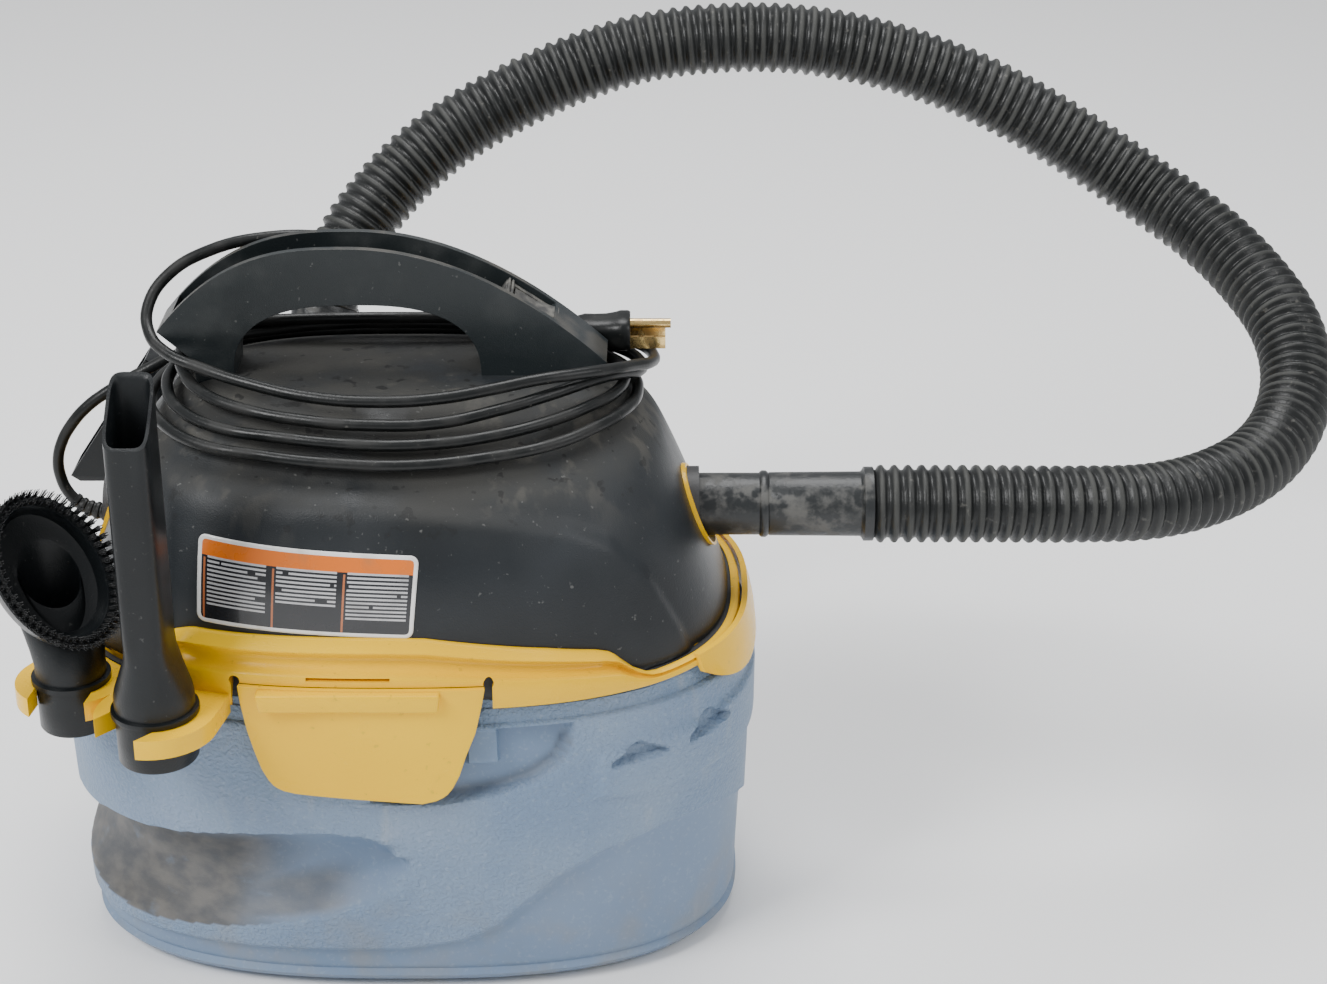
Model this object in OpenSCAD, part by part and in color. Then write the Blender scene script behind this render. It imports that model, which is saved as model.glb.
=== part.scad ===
/* [Tank] */
// Length of the tank, end to end
tank_length = 354; // [290:1:430]
// Depth of the tank, front to back
tank_depth = 243; // [200:1:295]
// Height of the tank's rim above the floor
tank_height = 173; // [150:1:200]
// Thickness of the tank wall
tank_wall = 3; // [2:0.5:4]
// How square the body's corners are in plan; 2 is an ellipse
corner_power = 2.6; // [2.2:0.1:3]

/* [Lid ring] */
// Height of the lid ring's wall
lid_height = 35; // [30:1:45]
// Wall thickness of the lid ring and of the motor housing
shell_wall = 3; // [2:0.5:3.5]
// Thickness of the sealing ring between tank and lid
gasket_height = 3; // [2:0.5:4]

/* [Motor housing] */
// Height of the black housing above the lid deck
housing_height = 120; // [110:1:135]
// Height of the hose port above the lid deck
port_rise = 43; // [38:1:50]
// Radius of the hose port's bore
port_bore = 16.4; // [13.6:0.1:19.7]
// Sideways offset of the motor from the middle
motor_offset = -20; // [-25:1:-10]
// Radius of the motor shaft
shaft_radius = 4; // [3:0.5:5]

/* [Handle] */
// Height of the handle's arch above the housing
handle_rise = 66; // [60:1:80]
// Width of the handle, front wall to back wall
handle_width = 30; // [25:1:36]
// Wall thickness of the handle's channel
handle_wall = 4; // [3:0.5:5]

/* [Hose and cord] */
// Outer radius of the corrugated hose
hose_radius = 20; // [18:0.5:21]
// Clearance between the smooth hose end and the port's bore
port_fit = 0.5; // [0.2:0.1:1]
// Diameter of the power cord
cord_diameter = 6; // [5:0.5:7]

/* [Tools] */
// Radius of the crevice tool's and the nozzle's round end
tool_radius = 19; // [15.8:0.1:22.8]
// Radius of the dusting brush's neck
brush_radius = 17; // [16:0.5:19]
// Thickness of the tool forks
fork_thickness = 10; // [8:0.5:14]

/* [Hidden] */
eps = 0.01;
gap = 0.4;                       // clearance between pieces that lift apart
step_deg = 7.5;                  // angle between the points of a body outline
half_l = tank_length / 2;
half_d = tank_depth / 2;
lid_bottom = tank_height - 1;    // the ring's skirt covers the rim's top edge
deck_bottom = tank_height + gasket_height;
deck_top = deck_bottom + shell_wall;
lid_top = lid_bottom + lid_height;
housing_top = deck_top + housing_height;
port_z = deck_top + port_rise;
latch_x = -12;                   // middle of the latch tongues
latch_hinge_z = deck_bottom + 8;
deck_hole_r = 42;
filter_r = 50;
fan_r = 56;
elbow_bend = 26;

// ---- body outlines -------------------------------------------------------
function outline(a, b) = [for (t = [0 : step_deg : 360 - step_deg])
  let (c = cos(t), s = sin(t))
  [a * sign(c) * pow(abs(c), 2 / corner_power), b * sign(s) * pow(abs(s), 2 / corner_power)]];

// A closed solid through body outlines; each ring is [height, half length, half depth]
module loft(rings) {
  n = len(outline(1, 1));
  last = len(rings) - 1;
  pts = [for (r = rings) for (p = outline(r[1], r[2])) [p[0], p[1], r[0]]];
  sides = [for (k = [0 : last - 1]) for (i = [0 : n - 1]) let (j = (i + 1) % n)
    each [[k * n + i, (k + 1) * n + i, k * n + j], [k * n + j, (k + 1) * n + i, (k + 1) * n + j]]];
  polyhedron(pts, concat([[for (i = [0 : n - 1]) i]], sides,
    [[for (i = [n - 1 : -1 : 0]) last * n + i]]));
}
function grow(rings, by) = [for (r = rings) [r[0], r[1] + by, r[2] + by]];
function lift(rings, by) = [for (r = rings) [r[0] + by, r[1], r[2]]];

// Tank wall from the floor up: [height, inset from the half length, inset from the half depth]
tank_insets = [[0, 18, 24], [4, 8, 15], [14, 3, 9.5], [60, 2, 6], [tank_height - 58, 0.3, 1.6],
  [tank_height - 32, 0, 0], [tank_height - 14, 1.5, 0.6], [tank_height - 13, 4.5, 2.4],
  [tank_height - 5, 6, 2.8], [tank_height - 4.6, 9.5, 3.4], [tank_height, 9.5, 3.4]];
tank_rings = [for (r = tank_insets) [r[0], half_l - r[1], half_d - r[2]]];
cavity_rings = [for (r = tank_insets) if (r[0] > 2 && r[0] < tank_height - 14.5)
    [max(r[0], tank_wall), half_l - r[1] - tank_wall, half_d - r[2] - tank_wall]];
rim_a = half_l - 9.5 - tank_wall;
rim_b = half_d - 3.4 - tank_wall;

// Housing wall from the deck up: [share of the height, inset in length, inset in depth]
housing_insets = [[0, 11, 5.5], [0.21, 20, 7], [0.43, 30, 10], [0.61, 39, 17], [0.73, 46, 24],
  [0.81, 53, 37], [0.91, 64, 55], [0.975, 79, 71], [1, 91, 79]];
housing_rings = [for (r = housing_insets)
    [deck_top + r[0] * housing_height, half_l - r[1], half_d - r[2]]];
housing_inner = grow(lift(housing_rings, -shell_wall), -shell_wall);
lid_rings = [[lid_bottom, half_l - 5.5, half_d + 4.5], [deck_bottom, half_l - 7, half_d + 4.5],
  [lid_top - 4, half_l - 16, half_d + 4], [lid_top, half_l - 18, half_d + 1.5]];

// ---- tank ------------------------------------------------------------------
module tank() {
  color([0.5, 0.54, 0.6]) difference() {
    loft(tank_rings);
    loft(concat(cavity_rings, [[tank_height - 10, rim_a, rim_b], [tank_height + 1, rim_a, rim_b]]));
  }
}

// ---- lid ring with its deck, end tabs and latch slots ----------------------
latch_w = 118;
latch_slot = 3;
end_step = 126;                  // where the ring's wall steps down towards its ends
module latch_window(extra) {
  translate([latch_x - latch_w / 2 - extra, half_d - 12, 0])
    cube([latch_w + 2 * extra, 30, latch_hinge_z + 0.5]);
}
module end_tab() {
  tab_half = 36;
  drop = 21;
  low = deck_bottom - drop - 5;
  outer = [[low, half_l + 2, half_d + 3], [low + 10, half_l + 1.4, half_d + 3],
    [deck_bottom, half_l - 4.5, half_d]];
  intersection() {
    difference() {
      loft(outer);
      loft(lift(grow(outer, -2.2), -eps));
    }
    translate([half_l - 40, -tab_half, low]) cube([60, 2 * tab_half, deck_bottom - low]);
  }
}
module lid_ring() {
  color([1, 0.82, 0]) difference() {
    union() {
      loft(lid_rings);
      end_tab();
      mirror([1, 0, 0]) end_tab();
    }
    loft([[lid_bottom - 1, rim_a + tank_wall + gap, rim_b + tank_wall + gap],
      [deck_bottom, rim_a + tank_wall + gap, rim_b + tank_wall + gap]]);
    for (side = [-1, 1]) translate([side * (end_step + tank_length / 2), 0, deck_top + 3 + lid_height])
      cube([tank_length, 2 * tank_depth, 2 * lid_height], center = true);
    difference() {
      loft(grow([housing_rings[0], housing_rings[1], housing_rings[2]], gap));
      translate([0, 0, deck_top - 50]) cube([2 * tank_length, 2 * tank_depth, 100], center = true);
    }
    translate([motor_offset, 0, deck_bottom - 1]) cylinder(r = deck_hole_r, h = 3 * shell_wall, $fn = 64);
    translate([elbow_x, 0, deck_bottom - 1]) cylinder(r = port_bore + 3.2 + gap, h = 3 * shell_wall, $fn = 48);
    latch_window(latch_slot);
    mirror([0, 1, 0]) latch_window(latch_slot);
  }
}
module lid_gasket() {
  color([0.15, 0.15, 0.16]) difference() {
    loft([[tank_height, rim_a + tank_wall, rim_b + tank_wall],
      [deck_bottom, rim_a + tank_wall, rim_b + tank_wall]]);
    loft([[tank_height - 1, rim_a, rim_b], [deck_bottom + 1, rim_a, rim_b]]);
  }
}

// ---- latch tongues: plates that hang from the ring's slots ------------------
latch_drop = 64;
module latch_outline() {
  low = latch_hinge_z - latch_drop;
  corner = 14;
  hull() {
    for (side = [-1, 1])
      translate([latch_x + side * (latch_w / 2 - 26), low + corner]) circle(r = corner, $fn = 32);
    translate([latch_x - latch_w / 2, latch_hinge_z - 8]) square([latch_w, 8]);
  }
}
module latch() {
  low = latch_hinge_z - latch_drop;
  skin = [[low - 1, half_l + 5, half_d + 3.2], [latch_hinge_z + 1, half_l + 3, half_d + 4.5]];
  ledge_w = 88;
  union() {
    intersection() {
      difference() {
        loft(grow(skin, 3));
        translate([0, 0, -eps]) loft(lift(skin, 0));
        translate([0, 0, latch_hinge_z + 1]) cube([2 * tank_length, 2 * tank_depth, 2], center = true);
      }
      translate([0, half_d + 20, 0]) rotate([90, 0, 0]) linear_extrude(60) latch_outline();
    }
    translate([latch_x - ledge_w / 2, half_d + 4, latch_hinge_z - 13]) cube([ledge_w, 8, 10]);
  }
}
module rear_latch() { color([1, 0.82, 0]) latch(); }
module front_latch() { color([1, 0.82, 0]) mirror([0, 1, 0]) latch(); }

// ---- motor housing -----------------------------------------------------------
port_x = half_l - 24;
port_ring_r = port_bore + 4.6;
module port_hole(r) {
  translate([0, 0, port_z]) rotate([0, 90, 0]) cylinder(r = r, h = half_l + 20, $fn = 64);
}
screw_spots = [[-110, -62], [-110, 62], [100, -62], [100, 62]];
screw_boss_r = 6;
module motor_housing() {
  color([0.1, 0.11, 0.12]) {
    difference() {
      loft(housing_rings);
      translate([0, 0, -eps]) loft(housing_inner);
      port_hole(port_ring_r + 0.2);
      mirror([1, 0, 0]) port_hole(port_ring_r + 0.2);
    }
    for (p = screw_spots) translate([p[0], p[1], deck_top]) difference() {
      intersection() {
        cylinder(r = screw_boss_r, h = housing_height, $fn = 32);
        translate([-p[0], -p[1], -deck_top]) loft(housing_rings);
      }
      translate([0, 0, -1]) cylinder(r = 2, h = 18, $fn = 24);
    }
  }
}
module port_ring() {
  difference() {
    intersection() {
      difference() {
        loft(grow(housing_rings, 1.2));
        translate([0, 0, -eps]) loft(housing_inner);
      }
      port_hole(port_ring_r);
    }
    port_hole(port_bore + 3.2);
  }
}
module hose_port_ring() { color([1, 0.82, 0]) port_ring(); }
module exhaust_port_ring() { color([1, 0.82, 0]) mirror([1, 0, 0]) port_ring(); }

label_w = 102;
label_h = 46;
module warning_label() {
  color([0.95, 0.45, 0.1]) intersection() {
    difference() {
      loft(grow(housing_rings, 0.6));
      loft(housing_rings);
    }
    translate([-36, -60, deck_top + 57]) rotate([90, 6, 0]) linear_extrude(80)
      square([label_w, label_h], center = true);
  }
}
module housing_screws() {
  color([0.7, 0.7, 0.72]) for (p = screw_spots) translate([p[0], p[1], deck_bottom - 3]) {
    cylinder(r = 4, h = 3, $fn = 24);
    cylinder(r = 2, h = 3 + shell_wall + 10, $fn = 24);
  }
}

// ---- handle: an arched channel, open on top ---------------------------------
apex_x = -22;
tip_left = -117;
tip_right = 104;
handle_top = housing_top + handle_rise;
grip_mid = -19;
grip_half = 61;
grip_height = 37;
arch_floor = 9;
function arch_z(x) = handle_top - (x < apex_x
  ? 43 * pow((apex_x - x) / (apex_x - tip_left), 2.8)
  : 59 * pow((x - apex_x) / (tip_right - apex_x), 2));
arch_points = [for (i = [0 : 18]) let (x = tip_left + (tip_right - tip_left) * i / 18) [x, arch_z(x)]];
function grip_points(grown) = [for (t = [180 : -10 : 0]) let (c = cos(t), s = sin(t))
  [grip_mid + (grip_half + grown) * sign(c) * pow(abs(c), 0.75),
    housing_top + (grip_height + grown) * pow(s, 0.8)]];
module handle_side() {
  base = deck_top + 0.8 * housing_height;
  difference() {
    polygon(concat([[-98, base], [-100, housing_top + 8]], arch_points,
      [[95, housing_top - 3], [93, base]]));
    polygon(concat([[grip_mid - grip_half, base - 1]], grip_points(0),
      [[grip_mid + grip_half, base - 1]]));
  }
}
module channel_side() {
  difference() {
    translate([tip_left + 8, housing_top + 14]) square([tip_right - tip_left - 22, handle_rise]);
    polygon(concat([[grip_mid - grip_half - arch_floor, housing_top]], grip_points(arch_floor),
      [[grip_mid + grip_half + arch_floor, housing_top]]));
  }
}
module handle() {
  color([0.1, 0.11, 0.12]) difference() {
    rotate([90, 0, 0]) linear_extrude(handle_width, center = true) handle_side();
    rotate([90, 0, 0]) linear_extrude(handle_width - 2 * handle_wall, center = true) channel_side();
    loft(housing_rings);
    at_switch() translate([-18 - gap, -handle_width / 2 + handle_wall - gap, -19 - gap])
      cube([36 + 2 * gap, handle_width - 2 * handle_wall + 2 * gap, 40]);
  }
}

// ---- switch, set into the channel at the arch's front slope -------------------
switch_x = 71;
switch_tilt = 34;
rocker_w = 15;
module at_switch() {
  translate([switch_x, 0, arch_z(switch_x)]) rotate([0, switch_tilt, 0]) children();
}
module power_switch() {
  body_w = handle_width - 2 * handle_wall;
  color([0.16, 0.16, 0.17]) at_switch() difference() {
    translate([-18, -body_w / 2, -19]) cube([36, body_w, 16]);
    translate([-13.5, -rocker_w / 2 - 0.5, -12]) cube([27, rocker_w + 1, 10]);
  }
}
module switch_rocker() {
  color([0.3, 0.3, 0.3]) at_switch() translate([0, 0, -6]) rotate([0, -8, 0]) rotate([90, 0, 0])
    linear_extrude(rocker_w, center = true)
      polygon([[-11.5, -1], [11.5, -1], [12.2, 4.2], [0, 2.6], [-12.2, 4.2]]);
}

// ---- air path -------------------------------------------------------------------
tube_r = port_bore + 3;
elbow_x = port_x - 61;
module inlet_elbow() {
  start = elbow_x + elbow_bend;
  color([0.13, 0.13, 0.14]) {
    translate([start, 0, port_z]) rotate([0, 90, 0]) pipe(half_l - 27 - start);
    translate([start, 0, port_z - elbow_bend]) rotate([90, 0, 0])
      rotate_extrude(angle = 90, start = 90, $fn = 64) translate([elbow_bend, 0]) difference() {
        circle(r = tube_r, $fn = 48);
        circle(r = port_bore, $fn = 48);
      }
    translate([elbow_x, 0, deck_bottom - 22]) pipe(port_z - elbow_bend - deck_bottom + 22);
  }
}
module pipe(length) {
  difference() {
    cylinder(r = tube_r, h = length, $fn = 48);
    translate([0, 0, -1]) cylinder(r = port_bore, h = length + 2, $fn = 48);
  }
}
module exhaust_duct() {
  reach = half_l - 27 + motor_offset - fan_r;
  color([0.13, 0.13, 0.14]) translate([motor_offset - fan_r - 1, 0, port_z]) rotate([0, -90, 0])
    pipe(reach);
}

// ---- fan and motor, on the deck over the filter hole ------------------------------
fan_h = 24;
motor_z = deck_top + fan_h;
module at_motor(z) { translate([motor_offset, 0, z]) children(); }
module fan_housing() {
  color([0.2, 0.2, 0.21]) at_motor(deck_top) difference() {
    cylinder(r = fan_r, h = fan_h, $fn = 72);
    translate([0, 0, 3]) cylinder(r = fan_r - 3, h = fan_h - 6, $fn = 72);
    translate([0, 0, -1]) cylinder(r = 24, h = 5, $fn = 48);
    translate([0, 0, fan_h - 4]) cylinder(r = 13, h = 5, $fn = 48);
    for (t = [0 : 45 : 315]) rotate([0, 0, t]) translate([fan_r - 5, -7, 5]) cube([8, 14, 12]);
  }
}
module fan_impeller() {
  blade_h = 9;
  color([0.75, 0.75, 0.77]) at_motor(deck_top + 5) {
    difference() {
      union() {
        cylinder(r = 48, h = 1.5, $fn = 72);
        cylinder(r = 9, h = blade_h + 3, $fn = 36);
        for (t = [0 : 45 : 315]) rotate([0, 0, t]) translate([8, -0.6, 1]) rotate([0, 0, 12])
          cube([38, 1.2, blade_h]);
      }
      translate([0, 0, -1]) cylinder(r = shaft_radius, h = blade_h + 6, $fn = 48);
    }
  }
}
stator_r = 36;
stator_bore = 22;
stator_h = 34;
grip = 0.5;                      // how far the mount's posts press into the stator
module motor_mount() {
  color([0.25, 0.25, 0.27]) at_motor(motor_z) {
    difference() {
      cylinder(r = 42, h = 4, $fn = 64);
      translate([0, 0, -1]) cylinder(r = 11, h = 6, $fn = 48);
    }
    for (t = [90, 270]) rotate([0, 0, t]) translate([stator_r - grip, -8, 3]) cube([4, 16, 55]);
  }
}
module motor_stator() {
  color([0.45, 0.45, 0.47]) at_motor(motor_z + 9) difference() {
    cylinder(r = stator_r, h = stator_h, $fn = 64);
    translate([0, 0, -1]) cylinder(r = stator_bore, h = stator_h + 2, $fn = 64);
  }
}
module bearing_bridge() {
  color([0.25, 0.25, 0.27]) at_motor(motor_z + 53) difference() {
    union() {
      translate([-8, grip - stator_r, 0]) cube([16, 2 * (stator_r - grip), 5]);
      cylinder(r = 14, h = 5, $fn = 48);
    }
    translate([0, 0, -1]) cylinder(r = 11, h = 7, $fn = 48);
  }
}
module bearing(z, h) {
  color([0.8, 0.8, 0.82]) at_motor(z) difference() {
    cylinder(r = 11, h = h, $fn = 48);
    translate([0, 0, -1]) cylinder(r = shaft_radius + 0.05, h = h + 2, $fn = 48);
  }
}
module lower_bearing() { bearing(motor_z, 4); }
module upper_bearing() { bearing(motor_z + 53, 5); }
module motor_shaft() {
  color([0.8, 0.8, 0.82]) at_motor(deck_top + 4) cylinder(r = shaft_radius, h = fan_h + 57, $fn = 48);
}
module rotor_ring(z, r, h) {
  at_motor(z) difference() {
    cylinder(r = r, h = h, $fn = 64);
    translate([0, 0, -1]) cylinder(r = shaft_radius, h = h + 2, $fn = 48);
  }
}
module armature() { color([0.6, 0.35, 0.2]) rotor_ring(motor_z + 8, stator_bore - 1, stator_h + 1); }
module commutator() { color([0.75, 0.45, 0.25]) rotor_ring(motor_z + 44, 10, 8); }
module brush_holders() {
  color([0.6, 0.5, 0.2]) at_motor(motor_z + 45) for (t = [0, 180]) rotate([0, 0, t])
    translate([10.4, -4, -2]) cube([stator_r - 12, 8, 8]);
}

// ---- filter and float under the deck ----------------------------------------------
cage_h = 80;
cage_bottom = deck_bottom - cage_h;
module filter_cage() {
  color([0.13, 0.13, 0.14]) at_motor(cage_bottom) difference() {
    union() {
      cylinder(r = filter_r, h = cage_h, $fn = 72);
      translate([0, 0, cage_h - 4]) cylinder(r = filter_r + 8, h = 4, $fn = 72);
    }
    translate([0, 0, 3]) cylinder(r = filter_r - 3, h = cage_h, $fn = 72);
    for (t = [0 : 30 : 330]) rotate([0, 0, t]) translate([filter_r - 6, -7, 12])
      cube([10, 14, cage_h - 26]);
  }
}
module foam_filter() {
  color([0.3, 0.3, 0.32]) at_motor(cage_bottom + 6) difference() {
    cylinder(r = filter_r + 7, h = cage_h - 11, $fn = 72);
    translate([0, 0, -1]) cylinder(r = filter_r + 0.2, h = cage_h, $fn = 72);
  }
}
float_travel = 28;
module float_valve() {
  color([0.9, 0.9, 0.88]) at_motor(cage_bottom + 4) difference() {
    cylinder(r = 30, h = 34, $fn = 48);
    translate([0, 0, -1]) cylinder(r = 27, h = 32, $fn = 48);
  }
}

// ---- forks for the tools and the hose end ------------------------------------------
fork_bottom = tank_height - 5;
fork_top = fork_bottom + fork_thickness;
// Half depth of the body's outline at x, so that what stands beside the body follows its curve
function side_y(x) = half_d * pow(1 - pow(abs(x) / half_l, corner_power), 1 / corner_power);
function beside(x, out) = [x, -side_y(x) - out];
crevice_at = beside(-half_l + 69, tool_radius + 9.74);
brush_at = beside(-half_l + 23, brush_radius + 10.18);
crevice_root = beside(-half_l + 93, -14.45);
brush_root = beside(-half_l + 35, -30.3);
nozzle_at = [-half_l + 44, half_d + 5.5];
hose_end_at = [-75, half_d + 48.5];
prong_w = 10;
module fork_cut(at, r, facing, mouth) {
  translate(at) circle(r = r, $fn = 48);
  translate(at) rotate(facing) translate([0, -mouth / 2]) square([60, mouth]);
}
module fork_plate(at, r, root, root_r = 12) {
  hull() {
    translate(at) circle(r = r + prong_w, $fn = 48);
    translate(root) circle(r = root_r, $fn = 32);
  }
}
module lid_footprint() { polygon(outline(half_l - 5.5, half_d + 4.5)); }
module front_tool_fork() {
  color([1, 0.82, 0]) translate([0, 0, fork_bottom]) linear_extrude(fork_thickness) difference() {
    union() {
      fork_plate(crevice_at, tool_radius, crevice_root);
      fork_plate(brush_at, brush_radius, brush_root);
      polygon([brush_root, brush_at, crevice_at, crevice_root]);
    }
    fork_cut(crevice_at, tool_radius + 0.6, 228, 30);
    fork_cut(brush_at, brush_radius + 0.6, 262, 28);
    lid_footprint();
  }
}
module rear_tool_fork() {
  color([1, 0.82, 0]) translate([0, 0, fork_bottom]) linear_extrude(fork_thickness) difference() {
    fork_plate(nozzle_at, tool_radius, [-118, 80]);
    fork_cut(nozzle_at, tool_radius + 0.6, 120, 30);
    lid_footprint();
  }
}
hose_end_r = 18.5;
hose_end_len = 112;
hose_end_lean = [-14, 10, 0];
module at_hose_end() {
  translate([hose_end_at[0], hose_end_at[1], fork_top]) rotate(hose_end_lean) children();
}
module hose_holder() {
  color([1, 0.82, 0]) difference() {
    translate([0, 0, fork_bottom]) linear_extrude(fork_thickness) difference() {
      fork_plate(hose_end_at, hose_end_r, [nozzle_at[0] + tool_radius + 16, half_d - 16], 6);
      translate(hose_end_at) rotate(110) translate([0, -14]) square([60, 28]);
      lid_footprint();
    }
    at_hose_end() translate([0, 0, -60]) cylinder(r = hose_end_r + 0.5, h = 120, $fn = 48);
  }
}

// ---- accessories ----------------------------------------------------------------------
ridge_r = tool_radius + 2;
cuff_drop = 24;
cuff_rise = 10;
module tool_cuff(at, r) {
  translate([at[0], at[1], fork_top - cuff_drop]) cylinder(r = r, h = cuff_drop + cuff_rise, $fn = 48);
  translate([at[0], at[1], fork_top + 0.3]) cylinder(r = r + 2, h = 3, $fn = 48);
}
module tool_bore(at, r) {
  translate([at[0], at[1], fork_top - cuff_drop - 1])
    cylinder(r = r - 2.5, h = cuff_drop + cuff_rise + 1, $fn = 48);
}
crevice_w = 21;
crevice_d = 34;
flare_h = 26;
crevice_len = 190;
module crevice_form(inset) {
  start = fork_top + cuff_rise;
  shift = inset == 0 ? 0 : eps;
  hull() {
    translate([crevice_at[0], crevice_at[1], start - shift])
      cylinder(r = tool_radius - inset, h = 1, $fn = 48);
    crevice_slice(start + flare_h, 1, inset);
  }
  crevice_slice(start + flare_h, crevice_len - cuff_drop - cuff_rise - flare_h + 3 * shift, inset);
}
module crevice_slice(z, h, inset) {
  r = crevice_w / 2 - inset;
  translate([crevice_at[0], crevice_at[1], z]) linear_extrude(h) hull()
    for (side = [-1, 1]) translate([0, side * (crevice_d - crevice_w) / 2]) circle(r = r, $fn = 32);
}
module crevice_tool() {
  mouth_z = fork_top - cuff_drop + crevice_len;
  color([0.12, 0.13, 0.14]) difference() {
    union() {
      tool_cuff(crevice_at, tool_radius);
      crevice_form(0);
    }
    tool_bore(crevice_at, tool_radius);
    crevice_form(2);
    translate([crevice_at[0], crevice_at[1] - crevice_d / 2, mouth_z - 24]) rotate([35, 0, 0])
      translate([-20, -20, 0]) cube([40, 80, 60]);
  }
}

// The brush head is an oval cup, turned to face forward and up
brush_head_w = 54;
brush_head_l = 78;
brush_up = 60;
module at_brush_head() {
  translate([brush_at[0] - 2, brush_at[1] - 5, fork_top + brush_up])
    rotate([0, 0, 28]) rotate([62, 0, 0]) rotate([0, 0, 20]) children();
}
module oval(w, l, h) { linear_extrude(h) scale([w / l, 1]) circle(d = l, $fn = 48); }
module dusting_brush() {
  color([0.1, 0.1, 0.11]) difference() {
    union() {
      tool_cuff(brush_at, brush_radius);
      hull() {
        translate([brush_at[0], brush_at[1], fork_top + cuff_rise - 1])
          cylinder(r = brush_radius - 0.3, h = 2, $fn = 32);
        at_brush_head() translate([0, 0, -14]) oval(38, 46, 2);
      }
      at_brush_head() difference() {
        translate([0, 0, -13]) oval(brush_head_w, brush_head_l, 13);
        translate([0, 0, -5]) oval(brush_head_w - 12, brush_head_l - 12, 6);
      }
    }
    tool_bore(brush_at, brush_radius);
    hull() {
      translate([brush_at[0], brush_at[1], fork_top + cuff_rise - 2])
        cylinder(r = brush_radius - 3, h = 1, $fn = 32);
      at_brush_head() translate([0, 0, -6]) oval(28, 36, 3);
    }
  }
}
module brush_bristles() {
  bristle = 13;
  color([0.05, 0.05, 0.05]) at_brush_head() difference() {
    oval(brush_head_w + 4, brush_head_l + 4, bristle);
    translate([0, 0, -1]) oval(brush_head_w - 10, brush_head_l - 10, bristle + 2);
  }
}
nozzle_mouth = 84;
nozzle_thick = 26;
module nozzle_form(inset) {
  hull() {
    translate([nozzle_at[0], nozzle_at[1], fork_top + cuff_rise - 3 - inset / 2])
      cylinder(r = tool_radius - inset, h = 1, $fn = 48);
    translate([nozzle_at[0] - 36, nozzle_at[1], fork_top + 39]) rotate([0, 34, 0])
      translate([-6 - inset, -nozzle_thick / 2 + inset, -nozzle_mouth / 2 + inset])
        cube([6 + 2 * inset, nozzle_thick - 2 * inset, nozzle_mouth - 2 * inset]);
  }
}
module utility_nozzle() {
  color([0.12, 0.13, 0.14]) difference() {
    union() {
      tool_cuff(nozzle_at, tool_radius);
      nozzle_form(0);
    }
    tool_bore(nozzle_at, tool_radius);
    nozzle_form(2.5);
  }
}

// ---- power cord --------------------------------------------------------------------------
cord_exit = [-half_l + 24, 30, deck_top + 24];
module cord_gland() {
  color([0.08, 0.08, 0.09]) translate(cord_exit) rotate([0, -90, 0]) difference() {
    cylinder(r = 6, h = 8, $fn = 32);
    translate([0, 0, 4]) cylinder(r = cord_diameter / 2, h = 5, $fn = 24);
  }
}
lead_route = [[-157, 30, 203], [-164, 31, 205], [-170, 32, 213], [-171, 33, 222], [-169, 33, 233],
  [-164, 32, 243], [-158, 31, 252], [-151, 29, 262], [-144, 26, 272], [-138, 22, 283],
  [-134, 17, 293], [-132, 12, 302]];
// Sweeps a round tube along a route; with a bore it is hollow
function unit(v) = v / norm(v);
function heading(route, i) = unit(route[min(i + 1, len(route) - 1)] - route[max(i - 1, 0)]);
function side_of(t, hint) = unit(cross(t, hint));
function ring_points(route, r, sides, hint) = [for (i = [0 : len(route) - 1])
  let (t = heading(route, i), u = side_of(t, hint), v = cross(t, u))
  for (k = [0 : sides - 1]) route[i] + r * (cos(360 * k / sides) * u + sin(360 * k / sides) * v)];
function wall_faces(rings, sides) = [for (i = [0 : rings - 2]) for (k = [0 : sides - 1])
  let (m = (k + 1) % sides)
  each [[i * sides + k, (i + 1) * sides + k, i * sides + m],
    [i * sides + m, (i + 1) * sides + k, (i + 1) * sides + m]]];
module tube(route, r, sides, hint) {
  last = len(route) - 1;
  polyhedron(ring_points(route, r, sides, hint), concat([[for (k = [0 : sides - 1]) k]],
    wall_faces(last + 1, sides), [[for (k = [sides - 1 : -1 : 0]) last * sides + k]]));
}
module hollow_tube(route, r, bore, sides, hint) {
  n = len(route) * sides;
  end = n - sides;
  outer = wall_faces(len(route), sides);
  inner = [for (f = outer) [n + f[2], n + f[1], n + f[0]]];
  caps = [for (k = [0 : sides - 1]) let (m = (k + 1) % sides)
    each [[k, m, n + k], [m, n + m, n + k], [end + k, n + end + k, end + m],
      [end + m, n + end + k, n + end + m]]];
  polyhedron(concat(ring_points(route, r, sides, hint), ring_points(route, bore, sides, hint)),
    concat(outer, inner, caps));
}
module cord_lead() { color([0.07, 0.07, 0.07]) tube(lead_route, cord_diameter / 2, 8, [0, 1, 0]); }

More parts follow.
